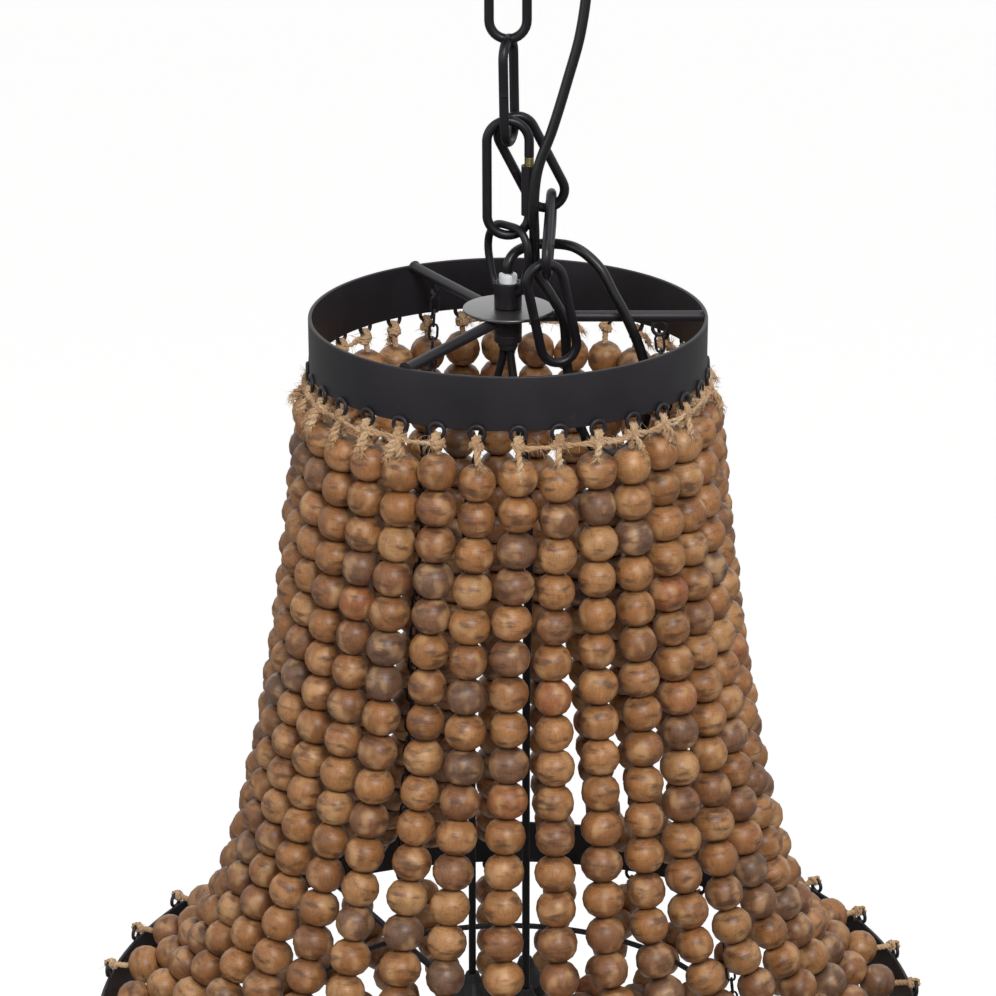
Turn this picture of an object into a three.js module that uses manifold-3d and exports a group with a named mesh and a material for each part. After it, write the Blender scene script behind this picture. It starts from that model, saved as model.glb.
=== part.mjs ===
// A beaded chandelier hung on a chain, in millimetres, +Z up.
// The origin is the middle of the ceiling bracket's top face, so all of the lamp hangs below zero.

import * as THREE from 'three';
import { mergeVertices } from 'three/addons/utils/BufferGeometryUtils.js';
import Module from 'manifold-3d';

const wasm = await Module();
wasm.setup();

// Fits
const touchGap = 0.3;
const linkGap = 0.5;
const cutOverrun = 5;

// Ceiling bracket, a flat bar with a slot near each end
const bracketInset = 15;
const bracketWidth = 24;
const bracketThickness = 2.5;
const bracketSlotLength = 18;
const bracketSlotWidth = 5;
const bracketSlotInset = 15;

// Threaded tube and nuts that carry the canopy and the loop
const nippleRadius = 5;
const nippleBore = 3.5;
const nutWidth = 15;
const nutHeight = 5;

// Canopy, a round cup that covers the bracket and the wiring
const canopyRadius = 70;
const canopyHeight = 30;
const canopyWall = 1.4;
const canopyEdgeRadius = 12;
const canopyRimGap = 0.5;

// Loop that carries the chain
const loopBossRadius = 9;
const loopBossHeight = 10;
const loopBossFloor = 2;
const loopInnerRadius = 10;
const loopSink = 2;

// Cable entry of the canopy
const glandInset = 24;
const glandBarrelRadius = 5;
const glandHeadRadius = 7.5;
const glandHeadHeight = 9;
const glandBarrelRise = 9;
const glandNutWidth = 16;
const glandNutHeight = 3;

// Terminal block under the bracket
const terminalOffset = 20;
const terminalLength = 22;
const terminalWidth = 15;
const terminalHeight = 14;

// Cables
const cableRadius = 3.25;
const leadRadius = 2.5;
const cableSides = 6;

// Chain links
const chainWire = 6;
const linkLength = 71;
const linkWidth = 29;
const secondTurn = 16;

// Quick link with its sleeve nut
const quickLength = 78.6;
const quickWidth = 32;
const sleeveWidth = 9.7;
const sleeveLength = 31.5;
const sleeveClearance = 0.4;
const quickGapHeight = 10;

// Surplus end of the chain, hooked in beside the quick link
// Tail links: tilt off the upright plane, lean in the plane, the plane's azimuth, where the bends touch
const tailTilts = [6, 0, 0];
const tailLeans = [26.6, 64, 12];
const tailAzimuths = [3, -94, 14];
const tailTopAngles = [8, 22, 12];
const tailLowAngles = [14, -35];
const sideSpacing = chainWire + linkGap;

// Bail that carries the lamp on the quick link
const bailWire = 5;
const bailWidth = 40;
const bailHeight = 41.2;
const bailTurn = -45;
const bailPinClearance = 0.4;

// Hub: collar, disc, body and cord grip
const collarRadius = 8.7;
const collarBore = 5.75;
const collarHeight = 16.6;
const pinDrop = 5.3;
const discRadius = 28.35;
const discThickness = 2;
const discUnderside = 2.4;
const hubBodyRadius = 8.75;
const hubBodyHeight = 20;
const hubWall = 2.5;
const outletRadius = 6.3;
const outletHeight = 5;
const gripHeight = 13;
const gripRise = 5.5;
const gripSlotWidth = 3;

// Crown band and its spokes
const crownRadius = 125;
const crownHeight = 34;
const bandThickness = 2.4;
const spokeRadius = 3.5;
const spokeCount = 3;

// Strands of round wooden beads
const strandCount = 32;
const beadRadius = 12;
const beadPitch = 22.5;
const beadEnd = 6;
const upperNodeCount = 8;
const lowerNodeCount = 4;

// The upper strands hang from the crown to the big ring as a catenary
const upperSag = 46;
const upperLowDrop = 480;
const upperTopInset = 2.5;
const upperTopBeadDrop = 62;
const upperTieLeast = 14;

// The lower strands hang from the big ring to the bottom ring
const lowerSag = 230;
const lowerLowInset = 10;
const lowerTieLeast = 12;
const lowerTieRoom = 0.8;

// Rings
const bigRingOutset = 14.4;
const bigRingHeight = 33;
const bigRingStep = 7;
const innerRingInset = 122;
const innerRingWire = 4;
const innerRingShift = 7.5;
const bottomRingRadius = 140;
const bottomRingWire = 5;
const strutRadius = 2.5;

// Eyelets of bent wire along the bands
const eyeletWire = 2.6;
const eyeletInnerRadius = 3.3;
const eyeletWeld = 0.5;
const crownEyeletOverlap = 4.6;
const ringEyeletOverlap = 3;

// Jute cord and its ties
const cordRadius = 2.2;
const tieRadius = 4.2;

// Small chains that carry the rings from the spokes
const loadEyeInset = 30;
const loadEyeWire = 2.4;
const loadEyeInnerRadius = 3.2;
const loadChainRadius = 3.5;

// Lampholders on a plate inside the inner ring
const lampCount = 3;
const lampReach = 24;
const carrierRadius = 46;
const carrierThickness = 2.5;
const carrierArmRadius = 2.5;
const holderRadius = 13.6;
const holderFlangeRadius = 16.5;
const holderFlangeThickness = 2.5;
const holderRise = 21;
const holderFall = 29;
const socketRadius = 11.6;
const socketDepth = 38;
const capHeight = 24;
const capTopRadius = 4.2;
const shadeRingRadius = 19;
const shadeRingThickness = 5;
const leadBulgeReach = 26;
const leadBulgeShare = 0.24;

// Facets
const bandFacets = strandCount;
const beadSides = 3;
const roundFacets = 20;
const smallFacets = 12;
const bendSteps = 6;
const lowerSteps = 4;
const edgeSteps = 2;
const eyeletSteps = 4;
const eyeletSides = 3;
const cableSteps = 40;
const wireSides = 6;

// Materials
const blackMetal = { color: 0x2b2b2d, roughness: 0.55, metalness: 0.6 };
const satinGrey = { color: 0x8e8f93, roughness: 0.45, metalness: 0.6 };
const blackRubber = { color: 0x1d1d1f, roughness: 0.6, metalness: 0 };
const whitePlastic = { color: 0xd9dde2, roughness: 0.35, metalness: 0 };
const brownWood = { color: 0xa5784f, roughness: 0.6, metalness: 0 };
const zincSteel = { color: 0xa9abad, roughness: 0.4, metalness: 0.8 };
const blackPlastic = { color: 0x1f1f21, roughness: 0.5, metalness: 0 };

const chandelier = new THREE.Group();

// Shared helpers

const fullTurn = 2 * Math.PI;
const upward = new THREE.Vector3(0, 0, 1);

function radians(degrees) {
  return THREE.MathUtils.degToRad(degrees);
}

// A point at a radius and an angle from +X, anticlockwise seen from above.
function around(radius, degrees, z) {
  return new THREE.Vector3(
    radius * Math.cos(radians(degrees)),
    radius * Math.sin(radians(degrees)),
    z,
  );
}

// Evenly spaced angles, the first at start.
function evenAngles(count, start) {
  return Array.from({ length: count }, (_, i) => start + (i * 360) / count);
}

// Position-only triangles, so that different geometries can be merged.
function bare(geometry) {
  const flat = geometry.index ? geometry.toNonIndexed() : geometry.clone();
  for (const name of Object.keys(flat.attributes)) {
    if (name !== 'position') {
      flat.deleteAttribute(name);
    }
  }
  return flat;
}

function addPart(name, geometry, look, parent = chandelier) {
  const mesh = new THREE.Mesh(geometry, new THREE.MeshStandardMaterial(look));
  mesh.name = name;
  parent.add(mesh);
  return mesh;
}

// Geometry to manifold solid and back.
function toSolid(geometry) {
  const merged = mergeVertices(bare(geometry), touchGap / 1000);
  return new wasm.Manifold(new wasm.Mesh({
    numProp: 3,
    vertProperties: new Float32Array(merged.attributes.position.array),
    triVerts: new Uint32Array(merged.index.array),
  }));
}

function fromSolid(solid) {
  const mesh = solid.getMesh();
  const geometry = new THREE.BufferGeometry();
  geometry.setAttribute('position', new THREE.BufferAttribute(mesh.vertProperties, 3));
  geometry.setIndex(new THREE.BufferAttribute(mesh.triVerts, 1));
  geometry.computeVertexNormals();
  return geometry;
}

function cut(geometry, tools) {
  return fromSolid(tools.reduce((solid, tool) => solid.subtract(toSolid(tool)), toSolid(geometry)));
}

function join(geometries) {
  return fromSolid(geometries.map(toSolid).reduce((all, solid) => all.add(solid)));
}

// A lathe about Z of [radius, z] points.
function turned(profile, facets = roundFacets) {
  const points = profile.map(([radius, z]) => new THREE.Vector2(radius, z));
  return new THREE.LatheGeometry(points, facets).rotateX(Math.PI / 2);
}

// A tube wall: a closed rectangle turned about Z.
function turnedWall(inner, outer, low, high, facets = roundFacets) {
  return turned([[inner, low], [outer, low], [outer, high], [inner, high], [inner, low]], facets);
}

function cylinder(radius, low, high, facets = roundFacets) {
  return turned([[0, low], [radius, low], [radius, high], [0, high]], facets);
}

// A straight rod between two points.
function rod(from, to, radius, sides = wireSides) {
  const length = from.distanceTo(to);
  const turn = new THREE.Quaternion().setFromUnitVectors(
    new THREE.Vector3(0, 1, 0),
    to.clone().sub(from).normalize(),
  );
  return new THREE.CylinderGeometry(radius, radius, length, sides)
    .applyQuaternion(turn)
    .translate(...from.clone().add(to).multiplyScalar(0.5).toArray());
}

function nut(width, low, high) {
  return new THREE.CylinderGeometry(width / Math.sqrt(3), width / Math.sqrt(3), high - low, 6)
    .rotateX(Math.PI / 2)
    .translate(0, 0, (high + low) / 2);
}

// A tube along a smooth open curve.
function tube(points, radius, steps, sides = cableSides) {
  const section = new THREE.Shape(Array.from({ length: sides }, (_, i) => new THREE.Vector2(
    radius * Math.cos((i * fullTurn) / sides),
    radius * Math.sin((i * fullTurn) / sides),
  )));
  const path = new THREE.CatmullRomCurve3(points);
  return new THREE.ExtrudeGeometry(section, { steps, extrudePath: path, bevelEnabled: false });
}

// The centre line of a chain link in X and Z, from its top wire's middle at zero.
function linkOutline(length, width, wire) {
  const bend = (width - wire) / 2;
  const straight = length - width;
  const outline = [];
  for (const centre of [-bend, -bend - straight]) {
    const start = centre === -bend ? 0 : Math.PI;
    for (let i = 0; i <= bendSteps; i += 1) {
      const angle = start + (i * Math.PI) / bendSteps;
      outline.push(new THREE.Vector2(bend * Math.cos(angle), centre + bend * Math.sin(angle)));
    }
  }
  return outline;
}

// A closed wire loop along an outline in X and Z, with mitred sections.
function wireLoop(outline, radius, sides = wireSides) {
  const positions = [];
  const count = outline.length;
  outline.forEach((point, i) => {
    const before = point.clone().sub(outline[(i + count - 1) % count]).normalize();
    const after = outline[(i + 1) % count].clone().sub(point).normalize();
    const along = before.clone().add(after).normalize();
    const outward = new THREE.Vector2(along.y, -along.x);
    const mitre = 1 / along.dot(after);
    for (let j = 0; j < sides; j += 1) {
      const angle = (j * fullTurn) / sides;
      const reach = radius * mitre * Math.cos(angle);
      positions.push(
        point.x + outward.x * reach,
        radius * Math.sin(angle),
        point.y + outward.y * reach,
      );
    }
  });
  const indices = [];
  for (let i = 0; i < count; i += 1) {
    for (let j = 0; j < sides; j += 1) {
      const a = i * sides + j;
      const b = i * sides + ((j + 1) % sides);
      const c = ((i + 1) % count) * sides + j;
      const d = ((i + 1) % count) * sides + ((j + 1) % sides);
      indices.push(a, b, c, b, d, c);
    }
  }
  const geometry = new THREE.BufferGeometry();
  geometry.setAttribute('position', new THREE.Float32BufferAttribute(positions, 3));
  geometry.setIndex(indices);
  geometry.computeVertexNormals();
  return geometry;
}

// Ceiling bracket

const nippleHole = nippleRadius + touchGap;
const bracketLength = 2 * (canopyRadius - bracketInset);
const bracketSlotOffset = bracketLength / 2 - bracketSlotInset;
const bracketBlank = new THREE.BoxGeometry(bracketLength, bracketWidth, bracketThickness)
  .translate(0, 0, -bracketThickness / 2);
const bracketSlots = [-bracketSlotOffset, bracketSlotOffset].map((x) => {
  const end = cylinder(bracketSlotWidth / 2, -bracketThickness - cutOverrun, cutOverrun, smallFacets);
  const half = (bracketSlotLength - bracketSlotWidth) / 2;
  const middle = new THREE.BoxGeometry(2 * half, bracketSlotWidth, 2 * (bracketThickness + cutOverrun));
  return join([end.clone().translate(-half, 0, 0), middle, end.translate(half, 0, 0)]).translate(x, 0, 0);
});
const bracketHole = cylinder(nippleHole, -bracketThickness - cutOverrun, cutOverrun);
addPart('ceiling_bracket', cut(bracketBlank, [...bracketSlots, bracketHole]), zincSteel);

// Canopy

const canopyFloor = -canopyHeight + canopyWall;
const glandOffset = canopyRadius - glandInset;

function canopyProfile() {
  const arc = (radius, from, to) => new THREE.Path()
    .absarc(canopyRadius - canopyEdgeRadius, canopyEdgeRadius - canopyHeight, radius, from, to, true)
    .getPoints(edgeSteps)
    .map((point) => [point.x, point.y]);
  const inner = arc(canopyEdgeRadius - canopyWall, 0, -Math.PI / 2);
  return [
    [nippleHole, canopyFloor],
    [nippleHole, -canopyHeight],
    ...arc(canopyEdgeRadius, 0, -Math.PI / 2).reverse(),
    [canopyRadius, -canopyRimGap],
    [canopyRadius - canopyWall, -canopyRimGap],
    ...inner,
    [nippleHole, canopyFloor],
  ];
}

const glandHole = cylinder(glandBarrelRadius + touchGap, -canopyHeight - cutOverrun, 0, smallFacets)
  .translate(glandOffset, 0, 0);
addPart('canopy', cut(turned(canopyProfile()), [glandHole]), blackMetal);

// Threaded tube, its two nuts and the loop below

const loopBossTop = -canopyHeight - touchGap;
const loopBossLow = loopBossTop - loopBossHeight;
const nippleLow = loopBossLow + loopBossFloor + touchGap;
addPart('canopy_nipple', turnedWall(nippleBore, nippleRadius, nippleLow, -touchGap, smallFacets), zincSteel);

function threadedNut(low) {
  const high = low + nutHeight;
  return cut(nut(nutWidth, low, high), [cylinder(nippleHole, low - cutOverrun, high + cutOverrun, smallFacets)]);
}

addPart('canopy_nut', threadedNut(canopyFloor + touchGap), zincSteel);
addPart('bracket_nut', threadedNut(-bracketThickness - touchGap - nutHeight), zincSteel);

const wireRadius = chainWire / 2;
const loopCentreRadius = loopInnerRadius + wireRadius;
const loopCentre = loopBossLow + loopSink - loopCentreRadius - wireRadius;
const loopRing = new THREE.TorusGeometry(loopCentreRadius, wireRadius, wireSides, roundFacets)
  .rotateY(Math.PI / 2)
  .translate(0, 0, loopCentre);
const loopBoss = cylinder(loopBossRadius, loopBossLow, loopBossTop);
const loopBore = cylinder(nippleHole, loopBossLow + loopBossFloor, loopBossTop + cutOverrun, smallFacets);
addPart('canopy_loop', cut(join([loopBoss, loopRing]), [loopBore]), blackMetal);

// Cable entry, its nut, the terminal block and the short cable between them

const glandHeadTop = -canopyHeight - touchGap;
const glandLow = glandHeadTop - glandHeadHeight;
const glandTop = canopyFloor + glandBarrelRise;
addPart('cable_gland', turned([
  [0, glandLow],
  [glandHeadRadius, glandLow],
  [glandHeadRadius, glandHeadTop],
  [glandBarrelRadius, glandHeadTop],
  [glandBarrelRadius, glandTop],
  [0, glandTop],
], smallFacets).translate(glandOffset, 0, 0), blackPlastic);

const glandNut = nut(glandNutWidth, canopyFloor + touchGap, canopyFloor + touchGap + glandNutHeight);
addPart('gland_nut', cut(glandNut, [cylinder(glandBarrelRadius + touchGap, -canopyHeight, 0, smallFacets)])
  .translate(glandOffset, 0, 0), blackPlastic);

const terminalTop = -bracketThickness - touchGap;
addPart('terminal_block', new THREE.BoxGeometry(terminalWidth, terminalLength, terminalHeight)
  .translate(terminalOffset, 0, terminalTop - terminalHeight / 2), whitePlastic);

const innerLeadStart = new THREE.Vector3(glandOffset, 0, glandTop + touchGap);
const innerLeadEnd = new THREE.Vector3(
  terminalOffset + terminalWidth / 2 + touchGap,
  0,
  terminalTop - terminalHeight / 2,
);
const bendShare = 0.3;
const innerLeadBend = new THREE.Vector3(innerLeadStart.x, 0, innerLeadEnd.z);
addPart('canopy_cable', tube([
  innerLeadStart,
  innerLeadStart.clone().lerp(innerLeadBend, bendShare),
  innerLeadBend.clone().lerp(innerLeadEnd, bendShare),
  innerLeadEnd.clone().lerp(innerLeadBend, bendShare),
  innerLeadEnd,
], leadRadius, bendSteps), blackRubber);

// Chain: every link hangs on the wire below it at this distance

const hang = chainWire + linkGap;
const tailHang = chainWire + 2 * linkGap;
const linkBend = (linkWidth - chainWire) / 2;
const linkSpan = linkLength - chainWire;
const quickSpan = quickLength - chainWire;
const linkGeometry = wireLoop(linkOutline(linkLength, linkWidth, chainWire), wireRadius);

const firstTop = loopCentre - loopCentreRadius + hang;
const firstLow = firstTop - linkSpan;
addPart('chain_link_1', linkGeometry.clone(), blackMetal).position.z = firstTop;

// A point of a link's bend and the wire's direction there, by the angle from the end's middle.
function bendPoint(degrees, side) {
  const angle = radians(degrees);
  const level = side > 0 ? -linkBend : linkBend - linkSpan;
  return {
    point: new THREE.Vector3(linkBend * Math.sin(angle), 0, level + side * linkBend * Math.cos(angle)),
    along: new THREE.Vector3(Math.cos(angle), 0, -side * Math.sin(angle)),
  };
}

// The second link leans a little, because its lower bend carries two links side by side.
const sideReach = Math.sqrt((linkBend - hang) ** 2 - (sideSpacing / 2) ** 2);
const sideDrop = linkSpan - hang - linkBend + sideReach;
const secondLean = Math.atan2(sideSpacing / 2, sideDrop);
const secondLink = addPart('chain_link_2', linkGeometry.clone().rotateZ(Math.PI / 2)
  .translate(0, 0, hang), blackMetal);
secondLink.position.z = firstLow;
secondLink.rotation.set(secondLean, 0, -radians(secondTurn), 'ZYX');
secondLink.updateMatrix();
const quickTop = new THREE.Vector3(0, -sideSpacing / 2, -sideDrop).applyMatrix4(secondLink.matrix);
const sideAngle = Math.asin(sideSpacing / 2 / (linkBend - hang));
const tailCarrier = bendPoint(THREE.MathUtils.radToDeg(sideAngle), -1);
tailCarrier.point.applyAxisAngle(upward, Math.PI / 2).add(new THREE.Vector3(0, 0, hang))
  .applyMatrix4(secondLink.matrix);
tailCarrier.along.applyAxisAngle(upward, Math.PI / 2).applyEuler(secondLink.rotation);

// Quick link: a link with a gap in its right leg, closed by the sleeve

const quickLow = quickTop.z - quickSpan;
const quickBend = (quickWidth - chainWire) / 2;
const sleeveLow = quickLow + quickBend;
const quickGap = new THREE.BoxGeometry(2 * chainWire, 2 * chainWire, quickGapHeight).translate(
  quickBend,
  0,
  sleeveLow + chainWire + quickGapHeight / 2 - quickTop.z,
);
const quickLoop = wireLoop(linkOutline(quickLength, quickWidth, chainWire), wireRadius);
addPart('quick_link', cut(quickLoop, [quickGap]), blackMetal).position.copy(quickTop);

const sleeveBore = cylinder(wireRadius + sleeveClearance, -cutOverrun, sleeveLength + cutOverrun, smallFacets);
addPart('quick_link_sleeve', cut(nut(sleeveWidth, 0, sleeveLength), [sleeveBore])
  .translate(quickBend, 0, 0), blackMetal).position.set(0, quickTop.y, sleeveLow);

// Surplus end of the chain: three links, draped over the hub's front right edge

// Hangs a tail link with its top bend on a wire at a point.
function hangTail(i, carrierPoint, carrierAlong, mesh) {
  const turns = new THREE.Euler(radians(tailTilts[i]), radians(-tailLeans[i]), radians(tailAzimuths[i]), 'ZYX');
  const top = bendPoint(tailTopAngles[i], 1);
  const offset = carrierAlong.clone().cross(top.along.clone().applyEuler(turns)).normalize().multiplyScalar(tailHang);
  mesh.rotation.copy(turns);
  mesh.position.copy(carrierPoint)
    .addScaledVector(offset, Math.sign(offset.z))
    .sub(top.point.clone().applyEuler(turns));
  mesh.updateMatrix();
}

const tailLinks = tailLeans.map((_, i) => addPart(`tail_link_${i + 1}`, linkGeometry.clone(), blackMetal));
hangTail(0, tailCarrier.point, tailCarrier.along, tailLinks[0]);
tailLowAngles.forEach((angle, i) => {
  const low = bendPoint(angle, -1);
  hangTail(
    i + 1,
    low.point.applyMatrix4(tailLinks[i].matrix),
    low.along.applyEuler(tailLinks[i].rotation),
    tailLinks[i + 1],
  );
});

// Bail: a bent wire whose ends are turned into the collar

const bailTop = quickLow + wireRadius + bailWire / 2 + linkGap;
const pinLevel = bailTop - bailHeight;
const pinReach = collarBore + 2 * touchGap;
const bailHalf = (bailWidth - bailWire) / 2;

// Shares of the half width past the pin and of the height, from the pin to the top.
const bailShares = [[0, 0], [0.3, 0], [0.55, 0.08], [0.78, 0.27], [1, 0.6], [0.86, 0.81], [0.36, 0.97]];
const bailSide = bailShares.map(([across, up]) => (
  new THREE.Vector3(pinReach + across * (bailHalf - pinReach), 0, up * bailHeight)
));
const bailCentre = new THREE.Vector3(0, 0, bailHeight);
const bailOther = bailSide.map((point) => new THREE.Vector3(-point.x, 0, point.z)).reverse();
const bail = addPart('bail', tube([...bailSide, bailCentre, ...bailOther], bailWire / 2, 4 * bendSteps), blackMetal);
bail.position.z = pinLevel;
bail.rotation.z = radians(bailTurn);

// The lamp frame hangs in its own group, with zero at the crown's top edge

const collarTop = pinLevel + pinDrop;
const rimLevel = collarTop - collarHeight - touchGap - discThickness - discUnderside;
const frame = new THREE.Group();
frame.position.z = rimLevel;
chandelier.add(frame);

// Hub

const discTop = discUnderside + discThickness;
const collarLow = discTop + touchGap;
const collarHigh = collarLow + collarHeight;
const pinHeight = collarHigh - pinDrop;
const pinHole = rod(
  around(2 * collarRadius, bailTurn, pinHeight),
  around(2 * collarRadius, bailTurn + 180, pinHeight),
  bailWire / 2 + bailPinClearance,
  smallFacets,
);
addPart('hub_collar', cut(turnedWall(collarBore, collarRadius, collarLow, collarHigh), [pinHole]), blackMetal, frame);
addPart('hub_disc', turnedWall(nippleHole, discRadius, discUnderside, discTop, strandCount), satinGrey, frame);

const hubBodyHigh = discUnderside - touchGap;
const hubBodyLow = hubBodyHigh - hubBodyHeight;
addPart('hub_body', turned([
  [nippleHole, hubBodyHigh],
  [nippleHole, hubBodyLow],
  [hubBodyRadius, hubBodyLow],
  [hubBodyRadius, hubBodyHigh],
  [nippleHole, hubBodyHigh],
]), blackMetal, frame);

const gripLow = collarHigh + gripRise - gripHeight;
const gripHigh = collarHigh + gripRise;
const gripSlot = new THREE.BoxGeometry(gripSlotWidth, 2 * collarRadius, gripRise)
  .translate(0, 0, gripHigh)
  .rotateZ(radians(bailTurn + 90));
const hubNippleHigh = gripLow - touchGap;
const outletHigh = hubBodyLow - touchGap;
const outletLow = outletHigh - outletHeight;
addPart('cord_grip', cut(cylinder(collarBore - touchGap, gripLow, gripHigh), [gripSlot]), whitePlastic, frame);
addPart('hub_nipple', turnedWall(nippleBore, nippleRadius, outletHigh + touchGap, hubNippleHigh, smallFacets), zincSteel, frame);
addPart('lead_outlet', cylinder(outletRadius, outletLow, outletHigh), blackMetal, frame);

// Crown band with its eyelets, and the spokes

const crownInner = crownRadius - bandThickness;

// How far the middle of a band's facet lies inside its corner radius.
function bandLoss(radius) {
  return radius * (1 - Math.cos(Math.PI / bandFacets));
}

const spokeAngles = evenAngles(spokeCount, 0);
const spokeLevel = discUnderside - touchGap - spokeRadius;
const loadEyeRadius = loadEyeInnerRadius + loadEyeWire / 2;
const loadEyeReach = crownRadius - loadEyeInset;
const loadEyeLevel = spokeLevel - spokeRadius - loadEyeRadius;
const spokeRod = rod(
  around(hubBodyRadius + touchGap, 0, spokeLevel),
  around(crownInner - bandLoss(crownInner) - touchGap, 0, spokeLevel),
  spokeRadius,
);
const loadEye = new THREE.TorusGeometry(loadEyeRadius, loadEyeWire / 2, eyeletSides, wireSides)
  .rotateX(Math.PI / 2)
  .translate(loadEyeReach, 0, loadEyeLevel);
const spoke = join([spokeRod, loadEye]);
spokeAngles.forEach((angle, i) => {
  addPart(`spoke_${i + 1}`, spoke.clone().rotateZ(radians(angle)), blackMetal, frame);
});

// Eyelets, one for every strand, welded to the outside of both bands

const strandAngles = evenAngles(strandCount, -90 + 90 / strandCount);
const eyeletRadius = eyeletInnerRadius + eyeletWire / 2;
const eyeletOuter = eyeletInnerRadius + eyeletWire;
const eyeletReach = eyeletWire / 2 - eyeletWeld;

function eyelet(bandRadius, level) {
  return new THREE.TorusGeometry(eyeletRadius, eyeletWire / 2, eyeletSides, eyeletSteps)
    .rotateX(Math.PI / 2)
    .rotateZ(Math.PI / 2)
    .translate(bandRadius - bandLoss(bandRadius) + eyeletReach, 0, level);
}

function atAngles(geometry, angles) {
  return angles.map((angle) => geometry.clone().rotateZ(radians(angle)));
}

function bandWithEyelets(radius, low, high, levels) {
  const band = turnedWall(radius - bandThickness, radius, low, high, bandFacets);
  return join([band, ...levels.flatMap((level) => atAngles(eyelet(radius, level), strandAngles))]);
}

const crownEyeletLevel = -crownHeight + crownEyeletOverlap - eyeletOuter;
const crownTieTop = crownEyeletLevel - eyeletOuter - touchGap;

// The upper catenary runs from the crown, so the big ring is as wide as its lowest point asks.
const upperStart = Math.sqrt((upperLowDrop + upperSag + crownTieTop) ** 2 - upperSag ** 2);
const upperLowRadius = crownRadius - upperTopInset + upperSag * Math.asinh(upperStart / upperSag);
const bigRingRadius = upperLowRadius + bigRingOutset;
const bigRingDrop = upperLowDrop + bigRingStep;
const bigRingLow = -bigRingDrop - bigRingHeight;
const upperEyeletLevel = -bigRingDrop + ringEyeletOverlap;
const lowerEyeletLevel = bigRingLow - ringEyeletOverlap;
addPart('crown_band', bandWithEyelets(crownRadius, -crownHeight, 0, [crownEyeletLevel]), blackMetal, frame);
addPart('big_ring', bandWithEyelets(bigRingRadius, bigRingLow, -bigRingDrop, [upperEyeletLevel, lowerEyeletLevel]),
  blackMetal, frame);

// Hanging curves: a catenary by its lowest point and sag length, at a length from that point

function catenary(sag, lowRadius, lowLevel) {
  return {
    at: (length) => new THREE.Vector3(
      lowRadius - sag * Math.asinh(length / sag),
      0,
      lowLevel - sag + Math.hypot(sag, length),
    ),
    along: (length) => new THREE.Vector3(-1, 0, length / sag).normalize(),
  };
}

// A tube with flat ends through [centre, across, other, radius] stations.
function sweep(stations, sides = beadSides) {
  const positions = [];
  const indices = [];
  const last = (stations.length - 1) * sides;
  stations.forEach(([centre, across, other, radius], i) => {
    for (let j = 0; j < sides; j += 1) {
      const angle = (j * fullTurn) / sides;
      positions.push(...centre.clone()
        .addScaledVector(across, radius * Math.cos(angle))
        .addScaledVector(other, radius * Math.sin(angle))
        .toArray());
      const a = i * sides + j;
      const b = i * sides + ((j + 1) % sides);
      if (a < last) {
        indices.push(a, b, a + sides, b, b + sides, a + sides);
      }
    }
  });
  for (let j = 1; j + 1 < sides; j += 1) {
    indices.push(0, j + 1, j, last, last + j, last + j + 1);
  }
  const geometry = new THREE.BufferGeometry();
  geometry.setAttribute('position', new THREE.Float32BufferAttribute(positions, 3));
  geometry.setIndex(indices);
  return geometry;
}

// One strand at angle zero, through [length, radius] stations of its curve.
function strand(curve, stations) {
  const direction = Math.sign(stations.at(-1)[0] - stations[0][0]);
  return sweep(stations.map(([length, radius]) => {
    const along = curve.along(length).multiplyScalar(direction);
    return [curve.at(length), new THREE.Vector3(along.z, 0, -along.x), new THREE.Vector3(0, 1, 0), radius];
  }));
}

// Nodes of neighbouring strands, held together by a run of cord from tie to tie.
function addStrandNodes(prefix, geometry, tiePoint, nodeCount) {
  const share = strandCount / nodeCount;
  for (let i = 0; i < nodeCount; i += 1) {
    const angles = strandAngles.slice(i * share, (i + 1) * share);
    const run = sweep(angles.map((angle) => [
      around(tiePoint.x, angle, tiePoint.z),
      upward,
      around(1, angle, 0),
      cordRadius,
    ]));
    addPart(`${prefix}_${i + 1}`, join([run, ...atAngles(geometry, angles)]), brownWood, frame);
  }
}

// Upper strands, bead by bead

const upperCurve = catenary(upperSag, upperLowRadius, -upperLowDrop);
const upperFirst = Math.sqrt((upperLowDrop + upperSag - upperTopBeadDrop) ** 2 - upperSag ** 2);
const upperEnd = -upperSag * Math.sinh((bigRingRadius - bandThickness - touchGap - upperLowRadius) / upperSag);
const upperBeadCount = Math.floor((upperFirst - upperEnd - upperTieLeast) / beadPitch) + 1;
const upperStations = [[upperStart, tieRadius], [upperFirst + beadPitch / 2, cordRadius]];
for (let i = 0; i < upperBeadCount; i += 1) {
  upperStations.push([upperFirst - i * beadPitch, beadRadius], [upperFirst - (i + 0.5) * beadPitch, cordRadius]);
}
upperStations.push([upperEnd, tieRadius]);
addStrandNodes(
  'upper_strands',
  strand(upperCurve, upperStations),
  upperCurve.at(upperStart - tieRadius),
  upperNodeCount,
);

// Lower strands, plain rods with the beads' thickness

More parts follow.
